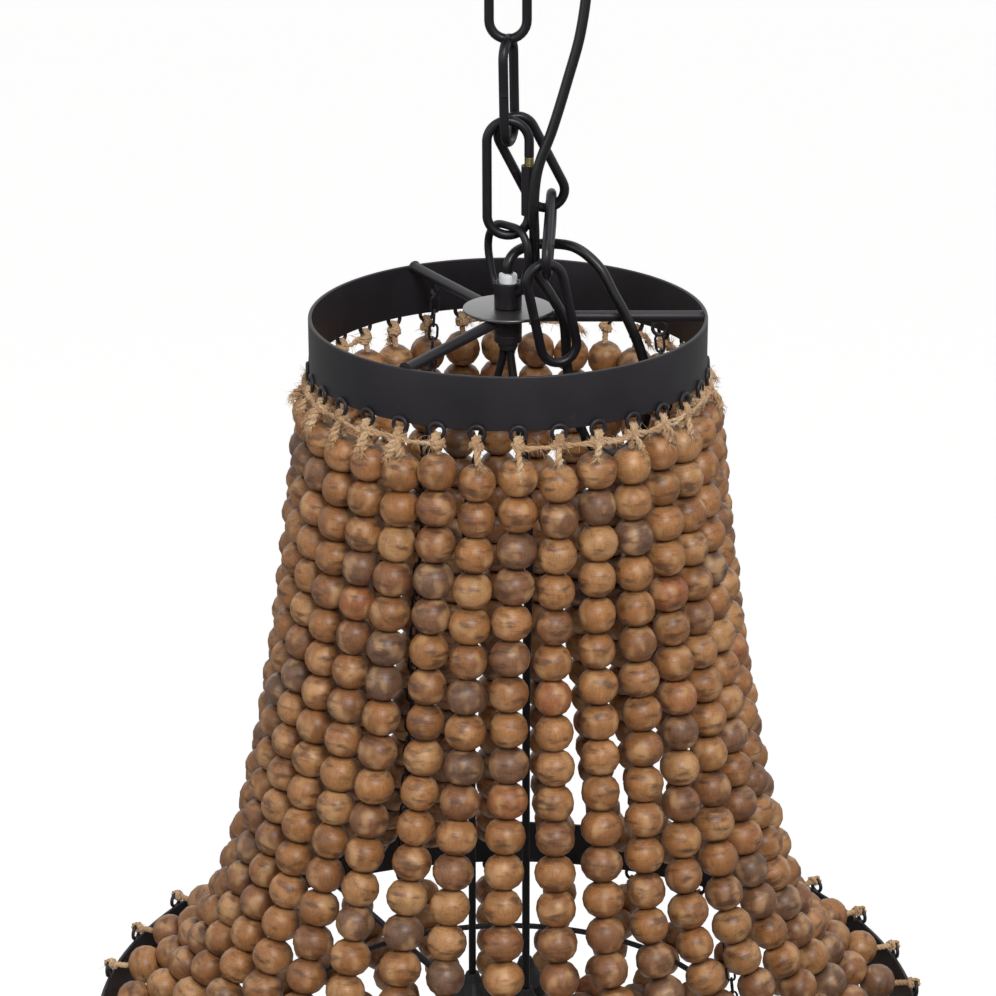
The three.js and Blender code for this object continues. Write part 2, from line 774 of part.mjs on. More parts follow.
const lowerLowRadius = bottomRingRadius - lowerLowInset;
const lowerTop = new THREE.Vector3(
  bigRingRadius,
  0,
  lowerEyeletLevel - eyeletOuter - lowerTieRoom,
);
const lowerStart = -lowerSag * Math.sinh((lowerTop.x - lowerLowRadius) / lowerSag);
const lowerLowLevel = lowerTop.z + lowerSag - Math.hypot(lowerSag, lowerStart);
const lowerCurve = catenary(lowerSag, lowerLowRadius, lowerLowLevel);
const lowerRingEnd = -lowerSag * Math.sinh((bottomRingRadius - lowerLowRadius) / lowerSag);
const lowerEnd = lowerRingEnd - bottomRingWire / 2 - touchGap;
const lowerBeadCount = Math.floor((lowerEnd - lowerStart - 2 * lowerTieLeast) / beadPitch);
const lowerBeaded = lowerBeadCount * beadPitch;
const lowerTie = (lowerEnd - lowerStart - lowerBeaded) / 2;
const lowerStations = [[lowerStart, tieRadius], [lowerStart + lowerTie, cordRadius]];
for (let i = 0; i <= lowerSteps; i += 1) {
  lowerStations.push([lowerStart + lowerTie + beadEnd + (i / lowerSteps) * (lowerBeaded - 2 * beadEnd), beadRadius]);
}
lowerStations.push([lowerEnd - lowerTie, cordRadius], [lowerEnd, tieRadius]);
addStrandNodes(
  'lower_strands',
  strand(lowerCurve, lowerStations),
  lowerCurve.at(lowerStart + tieRadius),
  lowerNodeCount,
);
addPart('bottom_ring', new THREE.TorusGeometry(bottomRingRadius, bottomRingWire / 2, 4, bandFacets)
  .translate(0, 0, lowerCurve.at(lowerRingEnd).z), blackMetal, frame);

// Inner ring, its struts to the big ring, and the small chains that carry it

const innerRingRadius = bigRingRadius - innerRingInset;
const innerRingLevel = (-bigRingDrop + bigRingLow) / 2 - innerRingShift;
const bigRingInner = bigRingRadius - bandThickness;
const innerRing = new THREE.TorusGeometry(innerRingRadius, innerRingWire / 2, 4, bandFacets)
  .translate(0, 0, innerRingLevel);
const struts = spokeAngles.map((angle) => rod(
  around(innerRingRadius, angle, innerRingLevel),
  around(bigRingInner - bandLoss(bigRingInner) - touchGap, angle, innerRingLevel),
  strutRadius,
));
addPart('inner_ring', join([innerRing, ...struts]), blackMetal, frame);

spokeAngles.forEach((angle, i) => {
  addPart(`load_chain_${i + 1}`, rod(
    around(loadEyeReach, angle, loadEyeLevel - loadEyeRadius - loadEyeWire / 2 - touchGap),
    around(innerRingRadius, angle, innerRingLevel + strutRadius + loadChainRadius),
    loadChainRadius,
  ), blackMetal, frame);
});

// Lampholders on a plate with three arms to the inner ring

const lampAngles = evenAngles(lampCount, -180 / lampCount);
const plateHigh = innerRingLevel + carrierThickness / 2;
const plateLow = innerRingLevel - carrierThickness / 2;
const armInner = carrierRadius - cutOverrun;
const carrierArms = spokeAngles.map((angle) => rod(
  around(armInner, angle, innerRingLevel),
  around(innerRingRadius - innerRingWire / 2 - bandLoss(innerRingRadius) - touchGap, angle, innerRingLevel),
  carrierArmRadius,
));
const holderHoles = lampAngles.map((angle) => (
  cylinder(holderRadius + touchGap, plateLow - cutOverrun, plateHigh + cutOverrun, smallFacets)
    .translate(...around(lampReach, angle, 0).toArray())
));
const plate = cylinder(carrierRadius, plateLow, plateHigh);
addPart('lamp_carrier', cut(join([plate, ...carrierArms]), holderHoles), blackMetal, frame);

const flangeLow = plateHigh + touchGap;
const holderHigh = flangeLow + holderRise;
const holderLow = plateLow - holderFall;
const holder = turned([
  [0, holderHigh],
  [0, holderLow + socketDepth],
  [socketRadius, holderLow + socketDepth],
  [socketRadius, holderLow],
  [holderRadius, holderLow],
  [holderRadius, flangeLow],
  [holderFlangeRadius, flangeLow],
  [holderFlangeRadius, flangeLow + holderFlangeThickness],
  [holderRadius, flangeLow + holderFlangeThickness],
  [holderRadius, holderHigh],
  [0, holderHigh],
], smallFacets);
const capLow = holderHigh + touchGap;
const capHigh = capLow + capHeight;
const cap = turned([[0, capLow], [holderRadius, capLow], [capTopRadius, capHigh], [0, capHigh]], smallFacets);
const shadeRingHigh = plateLow - touchGap;
const shadeRing = turnedWall(
  holderRadius + touchGap,
  shadeRingRadius,
  shadeRingHigh - shadeRingThickness,
  shadeRingHigh,
  smallFacets,
);
lampAngles.forEach((angle, i) => {
  const place = around(lampReach, angle, 0).toArray();
  addPart(`lampholder_${i + 1}`, holder.clone().translate(...place), blackPlastic, frame);
  addPart(`lampholder_cap_${i + 1}`, cap.clone().translate(...place), blackPlastic, frame);
  addPart(`shade_ring_${i + 1}`, shadeRing.clone().translate(...place), blackPlastic, frame);
});

const leadTop = outletLow - touchGap;
const leadLow = capHigh + touchGap;
const leadSpacing = (2 * leadRadius + touchGap) / Math.sqrt(3);
lampAngles.forEach((angle, i) => {
  addPart(`lamp_lead_${i + 1}`, tube([
    around(leadSpacing, angle, leadTop),
    around(leadSpacing, angle, leadTop - leadRadius),
    around(leadBulgeReach, angle, leadTop + leadBulgeShare * (leadLow - leadTop)),
    around(lampReach, angle, (leadTop + leadLow) / 2),
    around(lampReach, angle, leadLow + leadRadius),
    around(lampReach, angle, leadLow),
  ], leadRadius, wireSides), blackRubber, frame);
});

// Supply cable, its route chosen by hand, from the canopy's gland to the cord grip

const cableRoute = [
  [46, 0, -39.6],
  [46, 0, -55],
  [48, -3, -85],
  [44, -6, -120],
  [36, -8, -150],
  [27, -9.5, -180],
  [18.2, -10, -205],
  [15.8, -9.8, -228],
  [16.3, -7, -246],
  [16.4, -6, -258],
  [18, -7.5, -271],
  [27, -9.2, -286],
  [34.5, -9.5, -301],
  [37, -11, -330],
  [42, -14, -360],
  [54, -16, -384],
  [70, -15, -388],
  [84, -13, -372],
  [88, -11.5, -348],
  [84, -10.5, -325],
  [74, -10, -300],
  [65.3, -9, -283.7],
  [56.7, -6, -268.5],
  [42.8, 1, -258.2],
  [28, 9.5, -257.6],
  [14.9, 10, -258.8],
  [4.5, 4.5, -261.8],
  [0.2, 0.2, -267.5],
  [0, 0, -273.4],
];
addPart('supply_cable', tube(cableRoute.map((point) => new THREE.Vector3(...point)), cableRadius, cableSteps),
  blackRubber);

export default chandelier;
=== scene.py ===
import math
import random

import bpy
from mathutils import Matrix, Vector


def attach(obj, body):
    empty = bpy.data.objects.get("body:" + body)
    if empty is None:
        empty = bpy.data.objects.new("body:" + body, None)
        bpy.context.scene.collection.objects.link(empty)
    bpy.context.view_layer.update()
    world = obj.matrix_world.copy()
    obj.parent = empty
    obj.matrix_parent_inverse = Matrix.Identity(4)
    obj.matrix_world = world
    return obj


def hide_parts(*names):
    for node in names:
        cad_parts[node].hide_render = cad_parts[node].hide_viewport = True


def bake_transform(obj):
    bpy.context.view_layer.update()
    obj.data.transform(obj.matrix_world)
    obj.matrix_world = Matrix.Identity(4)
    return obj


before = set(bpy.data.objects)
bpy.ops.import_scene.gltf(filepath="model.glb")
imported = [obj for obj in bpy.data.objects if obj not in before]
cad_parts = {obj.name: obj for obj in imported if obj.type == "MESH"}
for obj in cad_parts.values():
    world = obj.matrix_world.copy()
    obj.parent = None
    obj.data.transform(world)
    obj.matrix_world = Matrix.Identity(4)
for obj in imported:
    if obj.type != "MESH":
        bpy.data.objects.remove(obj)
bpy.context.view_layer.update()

# A beaded chandelier on a chain. Lengths below are in millimetres until a mesh is made.
# Levels of the canopy, cable, chain and bail are from the ceiling. Those of the hub, bands, rings, strands and
# lampholders are from the crown band's top edge, which is at RIM_LEVEL.
scene = bpy.context.scene
scene.view_settings.view_transform = "Standard"

MILLIMETRE = 0.001
FULL_TURN = 2 * math.pi
RIM_LEVEL = -300.5035
UP = Vector((0, 0, 1))
THIRDS = (0, 120, 240)


# ---- camera

camera = bpy.data.objects.new("camera", bpy.data.cameras.new("camera"))
scene.collection.objects.link(camera)
camera.location = (0, -2.0, 0.3275)
camera.rotation_euler = (math.radians(69.42), 0, 0)
camera.data.sensor_width = 36
camera.data.lens = 120.98
camera.data.shift_x = -0.01004
camera.data.clip_end = 60
scene.camera = camera


# ---- material tools

def colour(text):
    """An sRGB hex colour as linear red, green, blue and alpha."""
    parts = [int(text[i:i + 2], 16) / 255 for i in (1, 3, 5)]
    return [c / 12.92 if c <= 0.04045 else ((c + 0.055) / 1.055) ** 2.4 for c in parts] + [1]


def add_node(tree, kind, inputs=None, stops=None, **settings):
    """Adds one node: its settings, its inputs (values, colours or links) and its colour stops."""
    new = tree.nodes.new(kind)
    for name, value in settings.items():
        setattr(new, name, value)
    for name, value in (inputs or {}).items():
        if isinstance(value, bpy.types.Node):
            value = value.outputs[0]
        if isinstance(value, bpy.types.NodeSocket):
            tree.links.new(value, new.inputs[name])
        else:
            is_colour = isinstance(value, str) and value.startswith("#")
            new.inputs[name].default_value = colour(value) if is_colour else value
    if stops:
        ramp = new.color_ramp
        while len(ramp.elements) < len(stops):
            ramp.elements.new(1)
        for element, (place, value) in zip(ramp.elements, stops):
            element.position = place
            element.color = colour(value) if isinstance(value, str) else [value] * 3 + [1]
    return new


def maths(tree, operation, *inputs):
    return add_node(tree, "ShaderNodeMath", dict(enumerate(inputs)), operation=operation)


def combined(tree, x, y, z):
    return add_node(tree, "ShaderNodeCombineXYZ", {0: x, 1: y, 2: z})


def clouds(tree, place, scale, detail=2.0, rough=0.5):
    """Noise at a place."""
    return add_node(tree, "ShaderNodeTexNoise", {"Vector": place, "Scale": scale, "Detail": detail,
                                                 "Roughness": rough})


def stretched(tree, place, scale, location=(0, 0, 0)):
    return add_node(tree, "ShaderNodeMapping", {"Vector": place, "Location": location, "Scale": scale})


def ranged(tree, source, low, high, from_low=0.0, from_high=1.0):
    return add_node(tree, "ShaderNodeMapRange", {0: source, 1: from_low, 2: from_high, 3: low, 4: high})


def toned(tree, source, *stops):
    """A value turned into the colours or greys of its stops."""
    return add_node(tree, "ShaderNodeValToRGB", {0: source}, stops)


def mixed(tree, share, first, second, way="MIX"):
    return add_node(tree, "ShaderNodeMix", {0: share, 6: first, 7: second}, data_type="RGBA",
                    blend_type=way).outputs[2]


def new_finish(name, **surface):
    """A material with a Principled surface, and the tree it is made in."""
    material = bpy.data.materials.new(name)
    material.use_nodes = True
    tree = material.node_tree
    tree.nodes.clear()
    shader = add_node(tree, "ShaderNodeBsdfPrincipled", surface)
    add_node(tree, "ShaderNodeOutputMaterial", {"Surface": shader})
    return material, tree, shader


def finish(tree, shader, base, rough, relief):
    """Links a surface's colour, its roughness from low to high by a texture, and its relief."""
    low, high, gloss = rough
    strength, height, texture = relief
    bump = add_node(tree, "ShaderNodeBump", {"Strength": strength, "Distance": height, "Height": texture})
    for name, source in (("Base Color", base), ("Roughness", ranged(tree, gloss, low, high).outputs[0]),
                         ("Normal", bump.outputs[0])):
        tree.links.new(source, shader.inputs[name])


def coated_metal(name, dark, light, rough, grain, bump, metallic=0.0, worn=None, gloss=0.5, **surface):
    """A coated or plated metal: its tone drifts over 40 mm, and its skin has a fine texture."""
    material, tree, shader = new_finish(
        name, **{"Metallic": metallic, "Specular IOR Level": gloss, **surface})
    place = add_node(tree, "ShaderNodeTexCoord").outputs["Object"]
    drift = clouds(tree, place, 25.0, 4.0)
    top = toned(tree, drift, (0.35, dark), (0.68, light)).outputs[0]
    skin = clouds(tree, place, 1 / (grain * MILLIMETRE), 3.0)
    if worn:
        spots = toned(tree, clouds(tree, place, 90.0, 6.0, 0.7), (0.62, 0.0), (0.74, 0.55))
        top = mixed(tree, spots, top, worn)
    finish(tree, shader, top, (rough - 0.06, rough + 0.08, drift), (bump, 0.0002, skin))
    return material


# Steel with a satin black powder coat: near black, a soft violet-grey sheen, orange peel 0.8 mm wide.
satin_black = coated_metal("satin_black_coated_steel", "#1d1b1e", "#252227", 0.42, 0.8, 0.25,
                           worn="#332f2d", gloss=0.28)
# The chain's wire has the same coat, rubbed a little brighter in scattered spots.
chain_black = coated_metal("satin_black_chain_steel", "#141216", "#1b181d", 0.34, 0.7, 0.2,
                           worn="#332e2e", gloss=0.26)
# The hub's disc: a dark lacquer over steel, which turns pale grey where it is seen at a low angle.
dark_lacquer = coated_metal("dark_lacquered_steel", "#211e1f", "#2c292a", 0.34, 0.5, 0.1,
                            **{"Coat Weight": 0.78, "Coat Roughness": 0.26, "Coat IOR": 1.7})
# Bright zinc plating of the hidden nuts, tube and bracket: pale grey with a faint spangle.
zinc_plate = coated_metal("bright_zinc_plating", "#9a9c9e", "#b4b6b8", 0.34, 0.9, 0.15, metallic=0.9)
# Yellow passivated zinc of the quick link's thread: a dull olive.
yellow_zinc = coated_metal("yellow_passivated_zinc", "#4d4526", "#7a6f42", 0.4, 0.6, 0.15, metallic=0.6)
# Black phenolic of the lampholders: moulded, an even low gloss.
black_phenolic = coated_metal("moulded_black_phenolic", "#131314", "#1c1c1d", 0.38, 0.6, 0.12, gloss=0.35)
# White nylon of the cord grip and the terminal block: moulded.
white_nylon = coated_metal("moulded_white_nylon", "#cfd2d4", "#e2e4e6", 0.38, 0.7, 0.1)


def make_sheath():
    """Black PVC sheath of the supply cable and the leads: semi-gloss, long soft ripples, fine scuffs."""
    material, tree, shader = new_finish("black_pvc_sheath", **{"Specular IOR Level": 0.34})
    lay = add_node(tree, "ShaderNodeUVMap", uv_map="lay")
    ripple = clouds(tree, stretched(tree, lay, (0.12, 0.5, 1)), 1.0)
    scuff = clouds(tree, add_node(tree, "ShaderNodeTexCoord").outputs["Object"], 500.0, 3.0)
    tone = toned(tree, scuff, (0.4, "#0b0b0c"), (0.7, "#141415"))
    finish(tree, shader, tone.outputs[0], (0.3, 0.42, scuff), (0.12, 0.0003, ripple))
    return material


black_sheath = make_sheath()


# ---- mesh tools

class Shape:
    """Gathers the faces of one piece, in millimetres, with a lay map along and round each tube."""

    def __init__(self):
        self.points, self.faces, self.lay = [], [], []

    def skin(self, rings, loop=False):
        """Joins rings of points into a wall. An open wall gets an end face at either end."""
        base, count, last = len(self.points), len(rings[0]), len(rings)
        run, lengths = 0.0, []
        for i, ring in enumerate(rings):
            self.points.extend(ring)
            if i:
                run += (ring[0] - rings[i - 1][0]).length
            lengths.append(run)
        middle = rings[last // 2]
        girth = sum((b - a).length for a, b in zip(middle, middle[1:]))
        for i in range(last if loop else last - 1):
            after = (i + 1) % last
            far = lengths[i + 1] if i + 1 < last else run + (rings[0][0] - rings[-1][0]).length
            for j in range(count):
                k = (j + 1) % count
                self.faces.append((base + i * count + j, base + i * count + k,
                                   base + after * count + k, base + after * count + j))
                near_v, far_v = girth * j / count, girth * (j + 1) / count
                self.lay.extend([(lengths[i], near_v), (lengths[i], far_v), (far, far_v), (far, near_v)])
        if not loop:
            self.faces.append(tuple(base + j for j in reversed(range(count))))
            self.faces.append(tuple(base + (last - 1) * count + j for j in range(count)))
            self.lay.extend([(0, 0)] * count + [(run, 0)] * count)

    def tube(self, path, radius, sides=12, loop=False, across=None):
        """A round tube along points; radius is one number or one for each point."""
        count = len(path)
        radii = radius if isinstance(radius, list) else [radius] * count
        along = []
        for i in range(count):
            before = path[i - 1] if i or loop else path[0]
            after = path[(i + 1) % count] if i + 1 < count or loop else path[-1]
            along.append((after - before).normalized())
        side = (across or along[0].orthogonal()).normalized()
        rings = []
        for i, (centre, direction) in enumerate(zip(path, along)):
            side = (side - direction * side.dot(direction)).normalized()
            other = direction.cross(side)
            ring = []
            for j in range(sides):
                a = FULL_TURN * j / sides
                ring.append(centre + side * (radii[i] * math.cos(a)) + other * (radii[i] * math.sin(a)))
            rings.append(ring)
        self.skin(rings, loop)

    def turned(self, profile, steps=64, place=(0, 0, 0), loop=True, reach=None):
        """Turns [radius, level] points, listed anticlockwise, about an upright axis."""
        place = Vector(place)
        self.skin([[place + Vector((r * math.cos(a) * s, r * math.sin(a) * s, z))
                    for a, s in ((FULL_TURN * j / steps, reach(FULL_TURN * j / steps, z) if reach else 1)
                                 for j in range(steps))]
                   for r, z in profile], loop)

    def piece(self, name, material, body, replaced=(), slot="black_iron", sharp=40):
        """The gathered faces as an object that rides on a body and stands for CAD nodes."""
        obj = self.object(name, material, sharp)
        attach(obj, body)
        if replaced:
            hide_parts(*replaced)
        return obj

    def object(self, name, material, sharp=40):
        mesh = bpy.data.meshes.new(name)
        mesh.from_pydata([p * MILLIMETRE for p in self.points], [], self.faces)
        lay = mesh.uv_layers.new(name="lay")
        lay.data.foreach_set("uv", [x for pair in self.lay for x in pair])
        mesh.shade_smooth()
        mesh.set_sharp_from_angle(angle=math.radians(sharp))
        mesh.materials.append(material)
        obj = bpy.data.objects.new(name, mesh)
        scene.collection.objects.link(obj)
        return obj


def smooth_line(points, step):
    """A smooth line through the points, cut into equal steps."""
    points = [Vector(p) for p in points]
    longer = [2 * points[0] - points[1], *points, 2 * points[-1] - points[-2]]
    fine = []
    for p0, p1, p2, p3 in zip(longer, longer[1:], longer[2:], longer[3:]):
        t1 = math.sqrt((p1 - p0).length) or 1
        t2 = t1 + (math.sqrt((p2 - p1).length) or 1)
        t3 = t2 + (math.sqrt((p3 - p2).length) or 1)
        pieces = max(6, math.ceil(3 * (p2 - p1).length / step))
        for k in range(pieces):
            t = t1 + (t2 - t1) * k / pieces
            a1 = p0.lerp(p1, t / t1)
            a2 = p1.lerp(p2, (t - t1) / (t2 - t1))
            a3 = p2.lerp(p3, (t - t2) / (t3 - t2))
            b1 = a1.lerp(a2, t / t2)
            b2 = a2.lerp(a3, (t - t1) / (t3 - t1))
            fine.append(b1.lerp(b2, (t - t1) / (t2 - t1)))
    fine.append(points[-1])
    lengths = [0.0]
    for a, b in zip(fine, fine[1:]):
        lengths.append(lengths[-1] + (b - a).length)
    count = max(2, round(lengths[-1] / step))
    line, i = [], 0
    for k in range(count + 1):
        want = lengths[-1] * k / count
        while i < len(fine) - 2 and lengths[i + 1] < want:
            i += 1
        share = (want - lengths[i]) / ((lengths[i + 1] - lengths[i]) or 1)
        line.append(fine[i].lerp(fine[i + 1], share))
    return line


def soften(corners, closed=True, steps=4):
    """Rounds the corners [across, level, radius] of an outline."""
    line, count = [], len(corners)
    for i, (x, z, radius) in enumerate(corners):
        here = Vector((x, z))
        if not radius or (not closed and i in (0, count - 1)):
            line.append((x, z))
            continue
        before = Vector(corners[i - 1][:2]) - here
        after = Vector(corners[(i + 1) % count][:2]) - here
        reach = radius / math.tan(before.angle(after) / 2)
        reach = min(reach, 0.48 * before.length, 0.48 * after.length)
        start, end = here + before.normalized() * reach, here + after.normalized() * reach
        for k in range(steps + 1):
            t = k / steps
            point = start.lerp(here, t).lerp(here.lerp(end, t), t)
            line.append((point.x, point.y))
    return line


def turned_piece(name, coat, node, corners, steps=64, body="lamp", slot="black_iron",
                 place=(0, 0, RIM_LEVEL), closed=True, bends=4, reach=None):
    """A piece turned from an outline of [across, level, corner radius]."""
    shape = Shape()
    shape.turned(soften(corners, closed, bends), steps, place, closed, reach)
    return shape.piece(name, coat, body, [node], slot)


def full_circle(count):
    """Angles round a full turn."""
    return [FULL_TURN * k / count for k in range(count)]


def around(radius, degrees, level, aside=0.0):
    """A point at a radius and angle from +X, with a shift to the side, at a level below the rim."""
    a = math.radians(degrees)
    return Vector((radius * math.cos(a) - aside * math.sin(a),
                   radius * math.sin(a) + aside * math.cos(a), RIM_LEVEL + level))


# ---- supply cable

CABLE_RADIUS = 3.25
CABLE_ROUTE = [
    (46, 0, -39.6), (46, 0, -55), (48, -3, -85), (44, -6, -120), (36, -8, -150), (27, -9.5, -180),
    (18.2, -10, -205), (15.8, -9.8, -228), (16.3, -7, -246), (16.4, -6, -258), (18, -7.5, -271),
    (27, -9.2, -286), (34.5, -9.5, -301), (37, -11, -330), (42, -14, -360), (54, -16, -384),
    (70, -15, -388), (84, -13, -372), (88, -11.5, -348), (84, -10.5, -325), (74, -10, -300),
    (65.3, -9, -283.7), (56.7, -6, -268.5), (42.8, 1, -258.2), (28, 9.5, -257.6), (14.9, 10, -258.8),
    (4.5, 4.5, -261.8), (0.2, 0.2, -267.5), (0, 0, -273.4),
]
# Each stretch: the level where it ends, the bodies it runs between, and the levels listed for where its bend
# starts and ends.
CABLE_STRETCHES = [
    ("top", -96, ("ceiling_fitting", "link_1"), (-48, -88)),
    ("upper", -153, ("link_1", "link_2"), (-106, -146)),
    ("middle", -215, ("link_2", "quick_link"), (-161, -201)),
    ("lower", -267, ("quick_link", "bail"), (-232, -264)),
    ("neck", -352, ("bail", "lamp"), (-268, -301)),
    ("loop", None, ("lamp",), None),
]


def make_cable():
    """The supply cable, cut into stretches at the chain's joints; the last stretch rides on the lamp, and the
    others stay fixed where they lie.
    """
    line = smooth_line(CABLE_ROUTE, 2.0)
    across = Vector((0, 1, 0))
    start = 0
    for name, end_level, bodies, bend in CABLE_STRETCHES:
        end = len(line) - 1
        if end_level is not None:
            end = next(i for i in range(start, len(line)) if line[i].z <= end_level)
        path = line[start:end + 1]
        shape = Shape()
        shape.tube(path, CABLE_RADIUS, 20, across=across)
        piece = shape.object("supply_cable_" + name, black_sheath)
        if len(bodies) == 2:
            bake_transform(piece)
        else:
            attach(piece, bodies[0])
        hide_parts("supply_cable")
        points = [p * MILLIMETRE for p in path]
        length = sum((b - a).length for a, b in zip(points, points[1:]))
        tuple(points[0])
        along = (line[end] - line[end - 1]).normalized()
        across = (across - along * across.dot(along)).normalized()
        start = end


make_cable()


# ---- chain

WIRE, LINK_LENGTH, LINK_WIDTH = 3.0, 71.0, 29.0
# A link's bends have 16 steps each, and its first leg has 8.
BEND_STEPS, LEG_STEPS = 16, 8


def link_line():
    """The centre line of a link in X and Z, from its top wire's middle at zero."""
    bend, straight = LINK_WIDTH / 2 - WIRE, LINK_LENGTH - LINK_WIDTH
    line = []
    for centre, start in ((-bend, 0.0), (-bend - straight, 180.0)):
        for k in range(BEND_STEPS + 1):
            a = math.radians(start + k * 180 / BEND_STEPS)
            line.append(Vector((bend * math.cos(a), 0, centre + bend * math.sin(a))))
    low = line[BEND_STEPS]
    for k in range(1, LEG_STEPS):
        line.insert(BEND_STEPS + k, low.lerp(Vector((low.x, 0, -bend - straight)), k / LEG_STEPS))
    return line


def turn(point, axis, degrees):
    """A point turned about an axis through zero."""
    a = math.radians(degrees)
    kept = axis * (axis.dot(point) * (1 - math.cos(a)))
    return point * math.cos(a) + axis.cross(point) * math.sin(a) + kept


def make_link(name, body, place, turns):
    """A chain link of round wire, with a fine seam half way down one leg where its ends are butted."""
    line = link_line()
    seam = BEND_STEPS + LEG_STEPS // 2
    low, high = line[seam - 1], line[seam + 1]
    middle = low.lerp(high, 0.5)
    joint = [middle + Vector((0, 0, lift)) for lift in (0.75, 0.35, 0.12, -0.12, -0.35, -0.75)]
    line[seam:seam + 1] = joint
    radii = [WIRE] * len(line)
    radii[seam:seam + len(joint)] = [WIRE, WIRE + 0.08, WIRE - 0.35, WIRE - 0.35, WIRE + 0.08, WIRE]
    for axis, degrees in turns:
        line = [turn(p, Vector(axis), degrees) for p in line]
    shape = Shape()
    shape.tube([p + Vector(place) for p in line], radii, 24, loop=True)
    shape.piece(name + "_wire", chain_black, body, [name])


X_AXIS, Y_AXIS, Z_AXIS = (1, 0, 0), (0, 1, 0), (0, 0, 1)
make_link("chain_link_1", "link_1", (0, 0, -60.8), [])
make_link("chain_link_2", "link_2", (0, 0, -125.8),
          [(Z_AXIS, 90), (X_AXIS, math.degrees(0.0638897)), (Z_AXIS, -16)])
TAIL_LINKS = [
    ("tail_1", (0.1796, 5.821, -176.5473), 6, 26.6, 3),
    ("tail_2", (27.5224, 20.9545, -232.0369), 0, 64, -94),
    ("tail_3", (20.6065, -29.7339, -259.7514), 0, 12, 14),
]
for body, place, tilt, lean, azimuth in TAIL_LINKS:
    make_link("tail_link_" + body[-1], body, place, [(X_AXIS, tilt), (Y_AXIS, -lean), (Z_AXIS, azimuth)])


def make_canopy_loop():
    """The ring under the canopy on its turned boss."""
    ring = Shape()
    ring.tube([Vector((0, 13 * math.cos(a), -54.3 + 13 * math.sin(a))) for a in full_circle(64)],
              WIRE, 20, loop=True, across=Vector(X_AXIS))
    boss = soften([(0.01, -40.3, 0), (9, -40.3, 1.6), (9, -30.3, 1.0), (0.01, -30.3, 0)], closed=False)
    ring.turned(boss, 48, loop=False)
    ring.piece("canopy_loop_ring", chain_black, "ceiling_fitting", ["canopy_loop"])


make_canopy_loop()


# ---- quick link and sleeve

QUICK_TOP, QUICK_LOW_BEND, QUICK_LEG = -176.7035, -236.3035, 13.0


def make_quick_link():
    """An oblong link whose right leg is threaded on both sides of its gap."""
    line, radii = [], []

    def leg(low, high, ridged):
        count = round(abs(high - low) / 0.25) if ridged else 6
        for k in range(count + 1):
            z = low + (high - low) * k / count
            line.append(Vector((QUICK_LEG, 0, z)))
            radii.append(2.78 + 0.2 * (k % 4 in (1, 2)) if ridged else WIRE)

    leg(-230.3, QUICK_LOW_BEND + 0.2, True)
    for centre, start, first in ((QUICK_LOW_BEND, 0, 1), (QUICK_TOP - QUICK_LEG, math.pi, 0)):
        for k in range(first, 25):
            a = start - math.pi * k / 25
            line.append(Vector((QUICK_LEG * math.cos(a), 0, centre + QUICK_LEG * math.sin(a))))
            radii.append(WIRE)
    leg(QUICK_TOP - QUICK_LEG, -199.2, False)
    leg(-199.6, -220.3, True)
    radii[0] = radii[-1] = 2.2
    shape = Shape()
    shape.tube(line, radii, 24, across=Vector(Y_AXIS))
    piece = shape.piece("quick_link_wire", chain_black, "quick_link", ["quick_link"])
    piece.data.materials.append(yellow_zinc)
    for face in piece.data.polygons:
        centre = face.center / MILLIMETRE
        if centre.x > 9 and QUICK_LOW_BEND < centre.z < -199.3:
            face.material_index = 1


SLEEVE_LOW, SLEEVE_TOP, SLEEVE_STEPS = -236.3, -204.8, 96


def make_sleeve():
    """The long hexagon nut, chamfered at both ends, with an open threaded bore."""
    flat = 9.7 / 2

    def hexagon(angle, z):
        across = flat / math.cos((angle + math.pi / 6) % (math.pi / 3) - math.pi / 6)
        edge = min(z - SLEEVE_LOW, SLEEVE_TOP - z)
        return min(across, 5.38, 4.7 + 1.7 * edge) if edge < 3 else min(across, 5.38)

    shape = Shape()
    levels = [SLEEVE_LOW, -236.15, -235.9, -235.7, -235.3, -220, -205.8, -205.4, -205.2, -204.95, SLEEVE_TOP]
    outside = [[Vector((QUICK_LEG + hexagon(a, z) * math.cos(a), hexagon(a, z) * math.sin(a), z))
                for a in full_circle(SLEEVE_STEPS)] for z in levels]
    inside = [[Vector((QUICK_LEG + r * math.cos(a), r * math.sin(a), z)) for a in full_circle(SLEEVE_STEPS)]
              for z, r in ((SLEEVE_TOP, 3.8), (SLEEVE_TOP - 0.5, 3.4), (SLEEVE_LOW + 0.5, 3.4),
                           (SLEEVE_LOW, 3.8))]
    shape.skin(outside + inside, loop=True)
    shape.piece("quick_link_sleeve_nut", chain_black, "sleeve", ["quick_link_sleeve"], sharp=25)


make_quick_link()
make_sleeve()


# ---- bail and hub

def make_bail():
    """The egg-shaped bail, bent from one wire, its ends turned into the collar."""
    pin, half, height = 6.35, 17.5, 41.2
    shares = [(0, 0), (0.3, 0), (0.55, 0.08), (0.78, 0.27), (1, 0.6), (0.86, 0.81), (0.36, 0.97)]
    side = [Vector((pin + across * (half - pin), 0, up * height)) for across, up in shares]
    other = [Vector((-p.x, 0, p.z)) for p in reversed(side)]
    line = smooth_line([*side, Vector((0, 0, height)), *other], 1.6)
    line = [turn(p, UP, -45) + Vector((0, 0, -284.5035)) for p in line]
    shape = Shape()
    shape.tube(line, [1.9] + [2.5] * (len(line) - 2) + [1.9], 20)
    shape.piece("bail_wire", chain_black, "bail", ["bail"])


